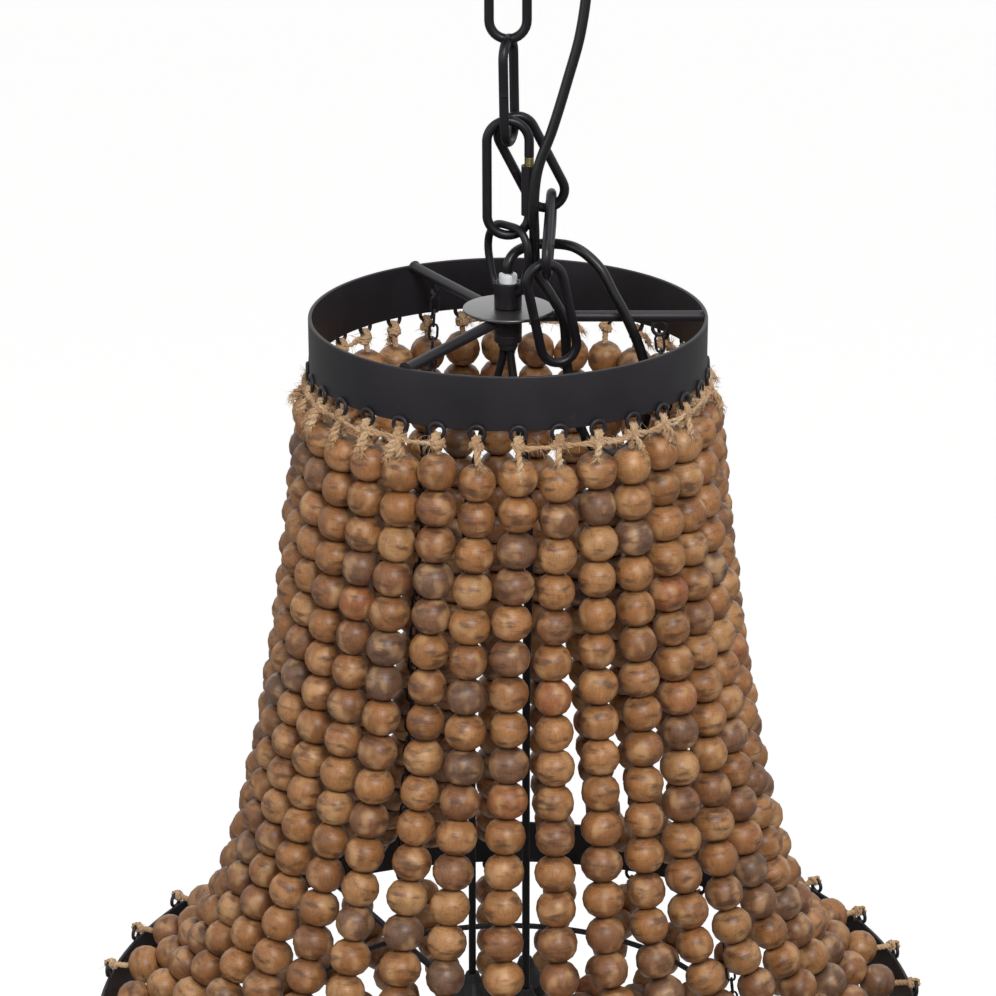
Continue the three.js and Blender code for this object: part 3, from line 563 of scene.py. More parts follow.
def make_hub():
    """Collar, disc, body and lead outlet of the hub, all turned."""
    turned_piece("hub_collar_turned", chain_black, "hub_collar", [
        (5.75, 4.7, 0.3), (8.7, 4.7, 0.6), (8.7, 21.3, 0.9), (7.1, 21.3, 0.5), (6.4, 19.6, 0.3),
        (5.75, 19.4, 0.3)])
    turned_piece("hub_disc_turned", dark_lacquer, "hub_disc", [
        (5.3, 2.4, 0), (28.35, 2.4, 0.8), (28.35, 4.4, 0.9), (5.3, 4.4, 0)], 128, slot="grey_satin")
    turned_piece("hub_body_turned", satin_black, "hub_body", [
        (5.3, -17.9, 0), (8.75, -17.9, 1.2), (8.75, -13, 0.3), (8.3, -12.6, 0.3), (8.75, -12.2, 0.3),
        (8.75, 2.1, 0.5), (5.3, 2.1, 0)])
    turned_piece("lead_outlet_bush", satin_black, "lead_outlet", [
        (0.01, -23.2, 0), (5.2, -23.2, 1.5), (6.3, -20.4, 0.8), (6.3, -18.2, 0.4), (0.01, -18.2, 0)], 48,
        closed=False)


def make_cord_grip():
    """Two white jaws in the collar's mouth, each a half round with a rounded top."""
    grip = Shape()
    low, top, jaw = 13.8 + RIM_LEVEL, 26.8 + RIM_LEVEL, 21.3 + RIM_LEVEL
    grip.turned(soften([(0.01, low, 0), (5.45, low, 0.6), (5.45, jaw, 0.2), (0.01, jaw, 0)], closed=False),
                48, loop=False)
    for half in (0, 1):
        rings = []
        for z, shrink in ((jaw - 0.5, 0.0), (top - 1.6, 0.0), (top - 0.9, 0.25), (top - 0.35, 0.7),
                          (top, 1.5)):
            ring = []
            for j in range(24):
                a = math.pi * j / 23
                point = Vector(((5.45 - shrink) * math.cos(a) * 0.985, 1.5 + shrink * 0.4
                                + (3.95 - 1.2 * shrink) * math.sin(a), 0))
                ring.append(turn(point, UP, -45 + 180 * half) + Vector((0, 0, z)))
            rings.append(ring)
        grip.skin(rings)
    grip.piece("cord_grip_jaws", white_nylon, "lamp", ["cord_grip"], "white_plastic")


make_bail()
make_hub()
make_cord_grip()


# ---- bands, rings and spokes

STRANDS = 32
STRAND_ANGLES = [-90 + 90 / STRANDS + 360 / STRANDS * i for i in range(STRANDS)]
EYELET_RING, EYELET_WIRE = 4.6, 1.3
EYELET_REACH = EYELET_WIRE - 0.5
CROWN_RADIUS, RING_RADIUS, BAND_WALL = 125.0, 276.7, 2.4
CROWN_EYELETS, RING_TOP_EYELETS, RING_LOW_EYELETS = -35.3, -484.0, -523.0


def new_group(name, inputs):
    """A Geometry Nodes tree with named inputs, and their sockets."""
    tree = bpy.data.node_groups.new(name, "GeometryNodeTree")
    tree.interface.new_socket("Geometry", in_out="OUTPUT", socket_type="NodeSocketGeometry")
    for label, kind in {"Geometry": "Geometry", **inputs}.items():
        tree.interface.new_socket(label, in_out="INPUT", socket_type="NodeSocket" + kind)
    return tree, add_node(tree, "NodeGroupInput").outputs


def close_group(tree, copies, material):
    """Ends a tree with real copies that carry their material."""
    real = add_node(tree, "GeometryNodeRealizeInstances", {0: copies})
    coated = add_node(tree, "GeometryNodeSetMaterial", {"Geometry": real, "Material": material})
    add_node(tree, "NodeGroupOutput", {0: coated})
    return tree


def make_eyelet_tree():
    """Geometry Nodes: a row of wire rings round a band, each with its hole facing outwards."""
    tree, given = new_group("eyelet_row", {
        "Row radius": "Float", "Level": "Float", "Count": "Int", "First angle": "Float",
        "Ring radius": "Float", "Wire radius": "Float", "Coat": "Material"})
    points = add_node(tree, "GeometryNodePoints", {"Count": given["Count"]})
    index = add_node(tree, "GeometryNodeInputIndex")
    angle = maths(tree, "MULTIPLY_ADD", index, maths(tree, "DIVIDE", FULL_TURN, given["Count"]),
                  given["First angle"])
    x, y = (maths(tree, "MULTIPLY", maths(tree, way, angle), given["Row radius"])
            for way in ("COSINE", "SINE"))
    placed = add_node(tree, "GeometryNodeSetPosition", {
        "Geometry": points, "Position": combined(tree, x, y, given["Level"])})
    ring, wire = (
        add_node(tree, "GeometryNodeCurvePrimitiveCircle", {"Resolution": steps, "Radius": given[size]})
        for steps, size in ((20, "Ring radius"), (8, "Wire radius")))
    eyelet = add_node(tree, "GeometryNodeCurveToMesh", {"Curve": ring, "Profile Curve": wire})
    copies = add_node(tree, "GeometryNodeInstanceOnPoints", {
        "Points": placed, "Instance": eyelet, "Rotation": combined(tree, 0.0, math.pi / 2, angle)})
    return close_group(tree, copies, given["Coat"])


def grown(name, tree, values, nodes, base=None):
    """Runs a Geometry Nodes tree with its named inputs; the result is a plain object on the lamp."""
    start = bpy.data.objects.new(name + "_start", base or bpy.data.meshes.new(name + "_start"))
    scene.collection.objects.link(start)
    modifier = start.modifiers.new("grow", "NODES")
    modifier.node_group = tree
    for item in tree.interface.items_tree:
        if item.in_out == "INPUT" and item.name in values:
            modifier[item.identifier] = values[item.name]
    evaluated = start.evaluated_get(bpy.context.evaluated_depsgraph_get())
    mesh = bpy.data.meshes.new_from_object(evaluated)
    bpy.data.objects.remove(start)
    mesh.shade_smooth()
    obj = bpy.data.objects.new(name, mesh)
    scene.collection.objects.link(obj)
    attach(obj, "lamp")
    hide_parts(*nodes)


eyelet_tree = make_eyelet_tree()


def make_band(name, node, radius, low, high, rows, coat):
    """A flat hoop with rounded edges, and a separate row of welded eyelets for each level."""
    inner = radius - BAND_WALL
    turned_piece(name + "_hoop", coat, node, [(inner, low, 0.7), (radius, low, 0.7), (radius, high, 0.7),
                                              (inner, high, 0.7)], 192, bends=3)
    for i, level in enumerate(rows):
        grown(f"{name}_eyelets_{i + 1}", eyelet_tree, {
            "Row radius": (radius + EYELET_REACH) * MILLIMETRE, "Level": (RIM_LEVEL + level) * MILLIMETRE,
            "Count": STRANDS, "First angle": math.radians(STRAND_ANGLES[0]), "Coat": coat,
            "Ring radius": EYELET_RING * MILLIMETRE, "Wire radius": EYELET_WIRE * MILLIMETRE}, [node])


make_band("crown", "crown_band", CROWN_RADIUS, -34, 0, [CROWN_EYELETS], satin_black)
make_band("big_ring", "big_ring", RING_RADIUS, -520, -487, [RING_TOP_EYELETS, RING_LOW_EYELETS],
          satin_black)

BOTTOM_RING_LEVEL, BOTTOM_RING_RADIUS, BOTTOM_WIRE = -578.07, 140.0, 2.5
INNER_RING_LEVEL, INNER_RING_RADIUS = -511.0, 155.0


def make_wire_rings():
    """The bottom ring, and the inner ring with its three struts."""
    low = Shape()
    low.tube([around(BOTTOM_RING_RADIUS, a * 2.25, BOTTOM_RING_LEVEL) for a in range(160)], BOTTOM_WIRE, 12,
             loop=True, across=UP)
    low.piece("bottom_ring_wire", satin_black, "lamp", ["bottom_ring"])
    inner = Shape()
    inner.tube([around(INNER_RING_RADIUS, a * 2.25, INNER_RING_LEVEL) for a in range(160)], 2, 12,
               loop=True, across=UP)
    for angle in THIRDS:
        ends = [around(r, angle, INNER_RING_LEVEL) for r in (155, 156.5, 262, 272.2, 273.9)]
        inner.tube(ends, [3.1, 2.5, 2.5, 2.6, 3.4], 16)
    inner.piece("inner_ring_wire", satin_black, "lamp", ["inner_ring"])


def make_spokes():
    """Round spokes from the hub to the crown, flared at the welds, with an eye for each small chain."""
    for i, angle in enumerate(THIRDS):
        spoke = Shape()
        stations = [(8.9, 4.4), (9.8, 3.8), (11.5, 3.5), (95, 3.5), (119.6, 3.5), (121.6, 3.8),
                    (122.5, 4.5)]
        spoke.tube([around(r, angle, -1.4) for r, _ in stations], [w for _, w in stations], 24, across=UP)
        spoke.tube([around(95 + 4.4 * math.cos(a), angle, -9.3 + 4.4 * math.sin(a)) for a in full_circle(32)],
                   1.2, 12, loop=True)
        spoke.piece(f"spoke_{i + 1}_bar", satin_black, "lamp", [f"spoke_{i + 1}"])


make_wire_rings()
make_spokes()


# ---- small chains

def make_chain_tree():
    """Geometry Nodes: oval links along a straight line, each a quarter turn from the last."""
    tree, given = new_group("small_chain", {
        "Start": "Vector", "End": "Vector", "Links": "Int", "Link length": "Float", "Link width": "Float",
        "Wire radius": "Float", "Coat": "Material"})
    line = add_node(tree, "GeometryNodeMeshLine", {"Count": given["Links"], "Start Location": given["Start"],
                                                   "Offset": given["End"]}, mode="END_POINTS")
    outline = add_node(tree, "GeometryNodeCurvePrimitiveQuadrilateral", {
        "Width": given["Link width"], "Height": given["Link length"]})
    corner = maths(tree, "MULTIPLY", given["Link width"], 0.49)
    oval = add_node(tree, "GeometryNodeFilletCurve", {"Curve": outline, "Radius": corner, "Count": 2},
                    mode="POLY")
    wire = add_node(tree, "GeometryNodeCurvePrimitiveCircle", {
        "Resolution": 6, "Radius": given["Wire radius"]})
    link = add_node(tree, "GeometryNodeCurveToMesh", {"Curve": oval, "Profile Curve": wire})
    span = add_node(tree, "ShaderNodeVectorMath", {0: given["End"], 1: given["Start"]},
                    operation="SUBTRACT")
    upright = add_node(tree, "FunctionNodeAlignRotationToVector", {"Vector": span}, axis="Y")
    quarter = maths(tree, "MULTIPLY", add_node(tree, "GeometryNodeInputIndex"), math.pi / 2)
    spin = add_node(tree, "FunctionNodeAxisAngleToRotation", {"Axis": (0, 1, 0), "Angle": quarter})
    facing = add_node(tree, "FunctionNodeRotateRotation", {"Rotation": upright, "Rotate By": spin},
                      rotation_space="LOCAL")
    copies = add_node(tree, "GeometryNodeInstanceOnPoints", {
        "Points": line, "Instance": link, "Rotation": facing})
    return close_group(tree, copies, given["Coat"])


chain_tree = make_chain_tree()
for i, angle in enumerate(THIRDS):
    grown(f"load_chain_{i + 1}_links", chain_tree, {
        "Start": around(95.3, angle, -19.4) * MILLIMETRE, "End": around(154.8, angle, -503.9) * MILLIMETRE,
        "Links": 51, "Link length": 11.4 * MILLIMETRE, "Link width": 5.4 * MILLIMETRE,
        "Wire radius": 0.85 * MILLIMETRE, "Coat": satin_black}, [f"load_chain_{i + 1}"])


# ---- lampholders and leads

LAMP_ANGLES, LAMP_REACH = (-60, 60, 180), 24.0


def make_lamps():
    """Three lampholders with ribbed caps and shade rings, the plate that carries them, and their leads."""
    plate = Shape()
    plate.turned(soften([(0.01, -512.25, 0), (46, -512.25, 0.8), (46, -509.75, 0.8), (0.01, -509.75, 0)],
                        closed=False), 96, (0, 0, RIM_LEVEL), loop=False)
    for angle in THIRDS:
        plate.tube([around(r, angle, -511) for r in (41, 46.5, 150, 153)], [2.5, 2.5, 2.5, 3.0], 16)
    plate.piece("lamp_carrier_plate", satin_black, "lamp", ["lamp_carrier"])
    for i, angle in enumerate(LAMP_ANGLES, 1):
        place = around(LAMP_REACH, angle, 0)
        turned_piece(f"lampholder_{i}_body", black_phenolic, f"lampholder_{i}", [
            (0.01, -503.25, 0), (11.6, -503.25, 0.6), (11.6, -541.25, 0.4), (13.6, -541.25, 0.5),
            (13.6, -518.3, 0.2), (13.6, -509.45, 0), (16.5, -509.45, 0.5), (16.5, -506.95, 0.5),
            (13.6, -506.95, 0.3), (13.6, -488.5, 0.8), (0.01, -488.45, 0)], 48, "lamp", "black_plastic",
            place, closed=False)
        turned_piece(f"lampholder_{i}_cap", black_phenolic, f"lampholder_cap_{i}", [
            (0.01, -488.15, 0), (13.6, -488.15, 1.0), (13.2, -482, 4), (6.2, -470, 4), (4.2, -464.15, 0.8),
            (0.01, -464.15, 0)], 72, "lamp", "black_plastic", place, closed=False,
            reach=lambda a, z: 1 + 0.012 * math.cos(24 * a))
        turned_piece(f"shade_ring_{i}_knurled", black_phenolic, f"shade_ring_{i}", [
            (13.9, -517.55, 0.4), (19, -517.55, 0.9), (19, -512.55, 0.9), (13.9, -512.55, 0.4)], 96, "lamp",
            "black_plastic", place, reach=lambda a, z: 1 + 0.012 * math.cos(32 * a))
        top, low = -23.5, -463.85
        stations = [(3.06, top), (3.06, top - 2.5), (26, top + 0.24 * (low - top)), (24, (top + low) / 2),
                    (24, low + 2.5), (24, low)]
        lead = Shape()
        lead.tube(smooth_line([around(r, angle, level) for r, level in stations], 5), 2.5, 14,
                  across=UP.cross(around(1, angle, 0) - around(0, angle, 0)))
        lead.piece(f"lamp_lead_{i}_sheath", black_sheath, "lamp", [f"lamp_lead_{i}"], "black_sheath")


make_lamps()


# ---- canopy

def make_canopy():
    """The spun canopy with a soft edge, and the cable entry's ribbed head."""
    turned_piece("canopy_cup", satin_black, "canopy", [
        (5.3, -28.6, 0), (5.3, -30, 0), (70, -30, 12), (70, -0.5, 0.5), (68.6, -0.5, 0.5),
        (68.6, -28.6, 10.6)], 160, "ceiling_fitting", place=(0, 0, 0), bends=10)
    turned_piece("cable_gland_head", black_phenolic, "cable_gland", [
        (3.3, -39.3, 0), (5.6, -39.3, 1.2), (7.5, -36.5, 0.8), (7.5, -30.3, 0.5), (5, -30.3, 0.2),
        (5, -19.6, 0.4), (3.3, -19.6, 0)], 72, "ceiling_fitting", "black_plastic", (46, 0, 0),
        reach=lambda a, z: 1 + (0.03 * math.cos(18 * a) if -36.6 < z < -31 else 0) * (z < -31))


make_canopy()
# Plain CAD pieces that only get a finish.
for coat, nodes in ((zinc_plate, "ceiling_bracket canopy_nipple bracket_nut canopy_nut hub_nipple"),
                    (black_phenolic, "gland_nut canopy_cable"), (white_nylon, "terminal_block")):
    for node in nodes.split():
        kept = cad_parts[node]
        kept.data.materials.clear()
        kept.data.materials.append(coat)


# ---- wood and jute

def make_bead_wood():
    """Turned mango wood, thinly waxed: mid brown, 2 mm growth rings, fine dark pores, a dull shine."""
    material, tree, shader = new_finish("waxed_turned_wood", **{"Specular IOR Level": 0.38})
    place, shift, tone = (
        add_node(tree, "ShaderNodeAttribute", attribute_name="bead_" + name).outputs[output]
        for name, output in (("place", "Vector"), ("shift", "Vector"), ("tone", "Fac")))
    away = add_node(tree, "ShaderNodeVectorMath", {0: shift, 1: (40, 40, 40)}, operation="MULTIPLY")
    here = add_node(tree, "ShaderNodeVectorMath", {0: place, 1: away}, operation="ADD")
    # One unit of the bead's own place is its radius of 12 mm.
    rings = add_node(tree, "ShaderNodeTexWave", {
        "Vector": stretched(tree, here, (0.5, 0.7, 2.4)), "Scale": 1.1, "Distortion": 5.0, "Detail": 3.0,
        "Detail Scale": 1.4, "Detail Roughness": 0.6}, bands_direction="Z")
    fibres = clouds(tree, stretched(tree, here, (15, 15, 2.4)), 1.0, 4.0, 0.65)
    cloud = clouds(tree, here, 0.9, 4.0, 0.6)
    base = toned(tree, tone, (0.0, "#735643"), (0.12, "#85593a"), (0.35, "#97653b"), (0.55, "#a26e41"),
                 (0.75, "#a97648"), (0.92, "#b28355"), (1.0, "#9a5c36"))
    top = mixed(tree, 1.0, base, ranged(tree, cloud, 0.68, 1.3, 0.25, 0.8), "MULTIPLY")
    top = mixed(tree, 0.45, top, ranged(tree, rings.outputs[1], 0.8, 1.1), "MULTIPLY")
    top = mixed(tree, 0.9, top, ranged(tree, fibres, 0.66, 1.22, 0.3, 0.75), "MULTIPLY")
    # Pale sapwood in soft patches, and dark smudges a few millimetres long across the grain.
    patch = clouds(tree, stretched(tree, here, (1.2, 1.2, 0.8), (9, 4, 2)), 1.15, 1.0, 0.4)
    top = mixed(tree, toned(tree, patch, (0.5, 0.0), (0.7, 0.55)), top, "#caa071")
    stain = clouds(tree, stretched(tree, here, (0.8, 0.8, 2.1)), 1.1, 4.0, 0.55)
    top = mixed(tree, toned(tree, stain, (0.51, 0.0), (0.66, 0.78)), top, "#4b3124")
    # Painted shade: each end is darker round the mouth of its hole. It stands in for the shade in the hole,
    # which is not modelled, and in the joint against the next bead.
    level = maths(tree, "ABSOLUTE", add_node(tree, "ShaderNodeSeparateXYZ", {0: place}).outputs[2])
    top = mixed(tree, toned(tree, level, (0.84, 0.0), (0.93, 0.65)), top, "#3a2b22")
    finish(tree, shader, top, (0.3, 0.5, fibres), (0.25, 0.0004, fibres))
    return material


def make_jute():
    """Twisted natural jute: pale tan, matt, with 0.3 mm fibres that run along each ply."""
    material, tree, shader = new_finish("twisted_natural_jute", **{
        "Sheen Weight": 0.3, "Sheen Roughness": 0.5, "Specular IOR Level": 0.2})
    lay = add_node(tree, "ShaderNodeUVMap", uv_map="lay")
    fibres = clouds(tree, stretched(tree, lay, (0.25, 3.0, 1)), 1.0, 3.0, 0.7)
    drift = clouds(tree, add_node(tree, "ShaderNodeTexCoord").outputs["Object"], 60.0, 3.0)
    tone = toned(tree, drift, (0.3, "#ad8862"), (0.5, "#c5a078"), (0.72, "#d8bb94"))
    twisted = mixed(tree, 0.9, tone, ranged(tree, fibres, 0.72, 1.12, 0.3, 0.7), "MULTIPLY")
    finish(tree, shader, twisted, (0.85, 0.97, fibres), (0.6, 0.0004, fibres))
    return material


bead_wood = make_bead_wood()
jute = make_jute()


# ---- strands

class Curve:
    """A hanging cord: a catenary by its sag and its lowest radius and level."""

    def __init__(self, sag, low_radius, low_level):
        self.sag, self.low_radius, self.low_level = sag, low_radius, low_level

    def at(self, length):
        """Radius and level at a length along the cord from its lowest point."""
        return (self.low_radius - self.sag * math.asinh(length / self.sag),
                self.low_level - self.sag + math.hypot(self.sag, length))

    def point(self, length, degrees, aside=0.0):
        radius, level = self.at(length)
        return around(radius, degrees, level, aside)


UPPER = Curve(46, 262.6, -480)
LOWER = Curve(230, 130, -578.288)
BEAD_PITCH = 22.5
UPPER_BEADS = [461.7 - BEAD_PITCH * i for i in range(21)]
LOWER_BEADS = [-141.2 + BEAD_PITCH * i for i in range(6)]
CORD_RADIUS = 2.0
# How the front strands hang, in millimetres: to the side at a third and at two thirds of the way down, and
# along the strand at its first bead.
FRONT_HANG = {
    24: (0, -1, -1), 25: (-2, -2, -1), 26: (-2, -2, -1.9), 27: (-3, -4, -3.7), 28: (-3.5, -5.5, -3.1),
    29: (-4.5, -9, -4.2), 30: (-2, -8, 0), 31: (-4.7, -12.7, -5), 0: (-6.5, -11.7, -1.2),
    1: (-7.1, -11.5, -6.2), 2: (-6.2, -14, -0.8), 3: (-4, -17, -2.3), 4: (-1.7, -20, 0.8),
    5: (-1.5, -18, -1.2), 6: (-1, -14, -1.2), 7: (0, -8, -1)}


class Strand:
    """One strand: its curve, its beads' lengths from the curve's low point, and its sway to the side."""

    def __init__(self, curve, number, lengths, chance):
        loose = [chance.uniform(-2, 2), chance.uniform(-2, 2), chance.uniform(-3, 1)]
        middle, low, slip = loose[0] / 2, loose[1] / 2, 0
        if curve is UPPER:
            middle, low, slip = FRONT_HANG.get(number, loose)
        self.sway = [(0, 0), (0.33, middle), (0.68, low), (1, 0)]
        self.curve, self.angle = curve, STRAND_ANGLES[number]
        self.first, self.last = lengths[0], lengths[-1]
        self.beads = [length + slip * (1 - self.share(length)) for length in lengths]

    def share(self, length):
        return min(1, max(0, (length - self.first) / (self.last - self.first)))

    def point(self, length, aside=0.0):
        share = self.share(length)
        for (start, here), (end, there) in zip(self.sway, self.sway[1:]):
            if share <= end:
                ease = 0.5 - 0.5 * math.cos(math.pi * (share - start) / (end - start))
                break
        return self.curve.point(length, self.angle, aside + here + (there - here) * ease)


def stored(tree, geometry, name, value, kind="FLOAT", domain="INSTANCE"):
    return add_node(tree, "GeometryNodeStoreNamedAttribute", {
        "Geometry": geometry, "Name": name, "Value": value}, data_type=kind, domain=domain)


def make_bead_tree():
    """Geometry Nodes: a turned bead on each point, along the strand's direction, with its own tone."""
    tree, given = new_group("bead_strands", {
        "Bead radius": "Float", "Bead height": "Float", "Size spread": "Float", "Seed": "Int",
        "Wood": "Material"})
    ball = add_node(tree, "GeometryNodeMeshUVSphere", {"Segments": 14, "Rings": 8, "Radius": 1.0})
    spot = add_node(tree, "GeometryNodeInputPosition")
    x, y, z = add_node(tree, "ShaderNodeSeparateXYZ", {0: spot}).outputs
    square = maths(tree, "MULTIPLY_ADD", y, y, maths(tree, "POWER", x, 2.0))
    # The turner leaves the sides fuller than a ball and the ends nearly flat.
    fuller = maths(tree, "POWER", maths(tree, "MAXIMUM", square, 0.001), -0.06)
    wide = maths(tree, "MULTIPLY", fuller, given["Bead radius"])
    flat = add_node(tree, "ShaderNodeClamp", {0: z, 1: -0.955, 2: 0.955})
    half = maths(tree, "MULTIPLY", given["Bead height"], 0.52)
    turned = combined(tree, maths(tree, "MULTIPLY", x, wide), maths(tree, "MULTIPLY", y, wide),
                      maths(tree, "MULTIPLY", flat, half))
    placed = stored(tree, ball, "bead_place", combined(tree, x, y, z), "FLOAT_VECTOR", "POINT")
    shaped = add_node(tree, "GeometryNodeSetPosition", {"Geometry": placed, "Position": turned})
    lie = add_node(tree, "GeometryNodeInputNamedAttribute", {"Name": "strand_direction"},
                   data_type="FLOAT_VECTOR")
    along = add_node(tree, "FunctionNodeAlignRotationToVector", {"Vector": lie}, axis="Z")
    spin = add_node(tree, "FunctionNodeRandomValue", {
        "Min": (-0.07, -0.07, -3.14), "Max": (0.07, 0.07, 3.14), "Seed": given["Seed"]},
        data_type="FLOAT_VECTOR")
    facing = add_node(tree, "FunctionNodeRotateRotation", {
        "Rotation": along, "Rotate By": add_node(tree, "FunctionNodeEulerToRotation", {0: spin})},
        rotation_space="LOCAL")
    least = maths(tree, "SUBTRACT", 1.0, given["Size spread"])
    size = add_node(tree, "FunctionNodeRandomValue", {2: least, 3: 1.0, "Seed": given["Seed"]},
                    data_type="FLOAT")
    girth = add_node(tree, "GeometryNodeInputNamedAttribute", {"Name": "bead_girth"}, data_type="FLOAT")
    girth = maths(tree, "MULTIPLY", girth, size.outputs[1])
    copies = add_node(tree, "GeometryNodeInstanceOnPoints", {
        "Points": given["Geometry"], "Instance": shaped, "Rotation": facing,
        "Scale": combined(tree, girth, girth, 1.0)})
    tone = add_node(tree, "FunctionNodeRandomValue", {"Seed": 7}, data_type="FLOAT")
    shift = add_node(tree, "FunctionNodeRandomValue", {"Seed": 3}, data_type="FLOAT_VECTOR")
    copies = stored(tree, copies, "bead_tone", tone.outputs[1])
    return close_group(tree, stored(tree, copies, "bead_shift", shift, "FLOAT_VECTOR"), given["Wood"])


bead_tree = make_bead_tree()


def tier(curve, lengths, seed):
    """All the strands of one tier."""
    chance = random.Random(seed)
    return [Strand(curve, number, lengths, chance) for number in range(STRANDS)]


UPPER_TIER, LOWER_TIER = tier(UPPER, UPPER_BEADS, 31), tier(LOWER, LOWER_BEADS, 32)


def make_beads(name, strands, nodes, seed, girth):
    """All beads of one tier as one mesh; girth is the first and the last bead's radius in millimetres."""
    chance = random.Random(seed)
    places, directions, girths = [], [], []
    for strand in strands:
        for length in strand.beads:
            aside = chance.uniform(-0.35, 0.35)
            places.append(strand.point(length, aside) * MILLIMETRE)
            directions.append((strand.point(length + 2) - strand.point(length - 2)).normalized())
            girths.append(girth[0] + (girth[1] - girth[0]) * strand.share(length))
    points = bpy.data.meshes.new(name + "_places")
    points.from_pydata(places, [], [])
    attribute = points.attributes.new("strand_direction", "FLOAT_VECTOR", "POINT")
    attribute.data.foreach_set("vector", [x for d in directions for x in d])
    points.attributes.new("bead_girth", "FLOAT", "POINT").data.foreach_set("value", girths)
    grown(name, bead_tree, {"Bead radius": MILLIMETRE, "Bead height": 22.6 * MILLIMETRE, "Size spread": 0.1,
                            "Seed": seed, "Wood": bead_wood}, nodes, points)


make_beads("upper_beads", UPPER_TIER, [f"upper_strands_{i}" for i in range(1, 9)], 11, (12.9, 13.6))
make_beads("lower_beads", LOWER_TIER, [f"lower_strands_{i}" for i in range(1, 5)], 12, (13.5, 13.5))


def yarn(shape, line, ply, plies=3, lay_length=9.0, sides=6, phase=0.0, step=1.3, spread=None):
    """A twisted cord of round plies along a line of points."""
    line = smooth_line(line, step)
    offset = ply * {2: 0.85, 3: 1.05}[plies]
    side = (line[1] - line[0]).normalized().orthogonal()
    tracks = [[] for _ in range(plies)]
    run = 0.0
    for i, point in enumerate(line):
        along = (line[min(i + 1, len(line) - 1)] - line[max(i - 1, 0)]).normalized()
        side = (side - along * side.dot(along)).normalized()
        other = along.cross(side)
        if i:
            run += (point - line[i - 1]).length
        wide = offset * (spread(i / (len(line) - 1)) if spread else 1)
        for k, track in enumerate(tracks):
            angle = phase + FULL_TURN * (run / lay_length + k / plies)
            track.append(point + side * (wide * math.cos(angle)) + other * (wide * math.sin(angle)))
    for track in tracks:
        shape.tube(track, [0.75 * ply] + [ply] * (len(track) - 2) + [0.75 * ply], sides)


def scattered(chance):
    return Vector([chance.gauss(0, 1) for _ in range(3)])


def loose_hairs(shape, chance, starts, count, length, pull=None):
    """Single jute fibres that stand away from the tie and curl; pull is the way most of them lean."""
    for _ in range(count):
        direction = scattered(chance).normalized()
        if pull:
            direction = (direction * 0.6 + pull).normalized()
        bend = scattered(chance) * 0.55
        span = length * chance.uniform(0.35, 1.3)
        line = [chance.choice(starts)]
        for k in range(3):
            line.append(line[-1] + direction * (span / 3))
            direction = (direction + bend * 0.6 - UP * 0.15).normalized()
        shape.tube(line, [0.19, 0.17, 0.13, 0.05], 3)


def make_tie(shape, chance, anchor, mouth, aside, wire, turns, hairs, ply):
    """One tie: loops over the eyelet's wire, a knot under it, and the neck into the bead's hole."""
    down = (mouth - anchor).normalized()
    across = down.cross(aside).normalized()
    loops = []
    for k in range(round(14 * turns)):
        a = FULL_TURN * k / 14
        wide = 1.1 + chance.uniform(-0.1, 0.25)
        loops.append(anchor + down * (1.1 - (wire + 1.9) * math.cos(a))
                     + across * ((wire + wide) * math.sin(a)) + aside * (-1.7 + 3.4 * k / (14 * turns)))
    yarn(shape, loops, ply, 2, 5.0, 5)
    heart = anchor + down * (wire + 2.6) + aside * chance.uniform(-0.6, 0.6)
    neck = heart.lerp(mouth, 0.5) + across * chance.uniform(-0.5, 0.5)
    yarn(shape, [anchor + down * wire, heart, neck, mouth], 1.05, 3, 8.0, 6, chance.uniform(0, 6))
    # The knot: one yarn laid round the neck at changing slants.
    knot, laps = [], max(2.2, turns)
    slant, spin = chance.uniform(0.5, 1.3), chance.uniform(0, 6)
    for k in range(round(laps * 9) + 1):
        a = FULL_TURN * k / 9
        radius = 1.55 + 1.03 * ply + 0.75 * math.sin(1.3 * k) ** 2
        level = (0.6 + 1.15 * ply) * math.sin(slant * k + spin) - 0.4
        knot.append(heart + down * level + aside * (radius * math.cos(a)) + across * (radius * math.sin(a)))
    yarn(shape, knot, ply, 2, 6.0, 5, chance.uniform(0, 6))
    loose_hairs(shape, chance, knot + loops + [heart, mouth], hairs, 6.0)
    return heart


def make_tail(shape, chance, start, way, length):
    """A loose end of yarn that hangs over the first bead and comes apart into a tuft."""
    middle = start + way * (0.5 * length) + Vector([chance.uniform(-1, 1) for _ in range(3)])
    end = start + way * length - UP * (0.25 * length)
    yarn(shape, [start, middle, end], 1.05, 2, 8.0, 5, chance.uniform(0, 6),
         spread=lambda t: 1 + 0.9 * t * t)
    along = (end - middle).normalized()
    loose_hairs(shape, chance, [middle, end, middle.lerp(end, 0.5)], 60, 6.5, along)
    loose_hairs(shape, chance, [start, middle], 22, 5.0)


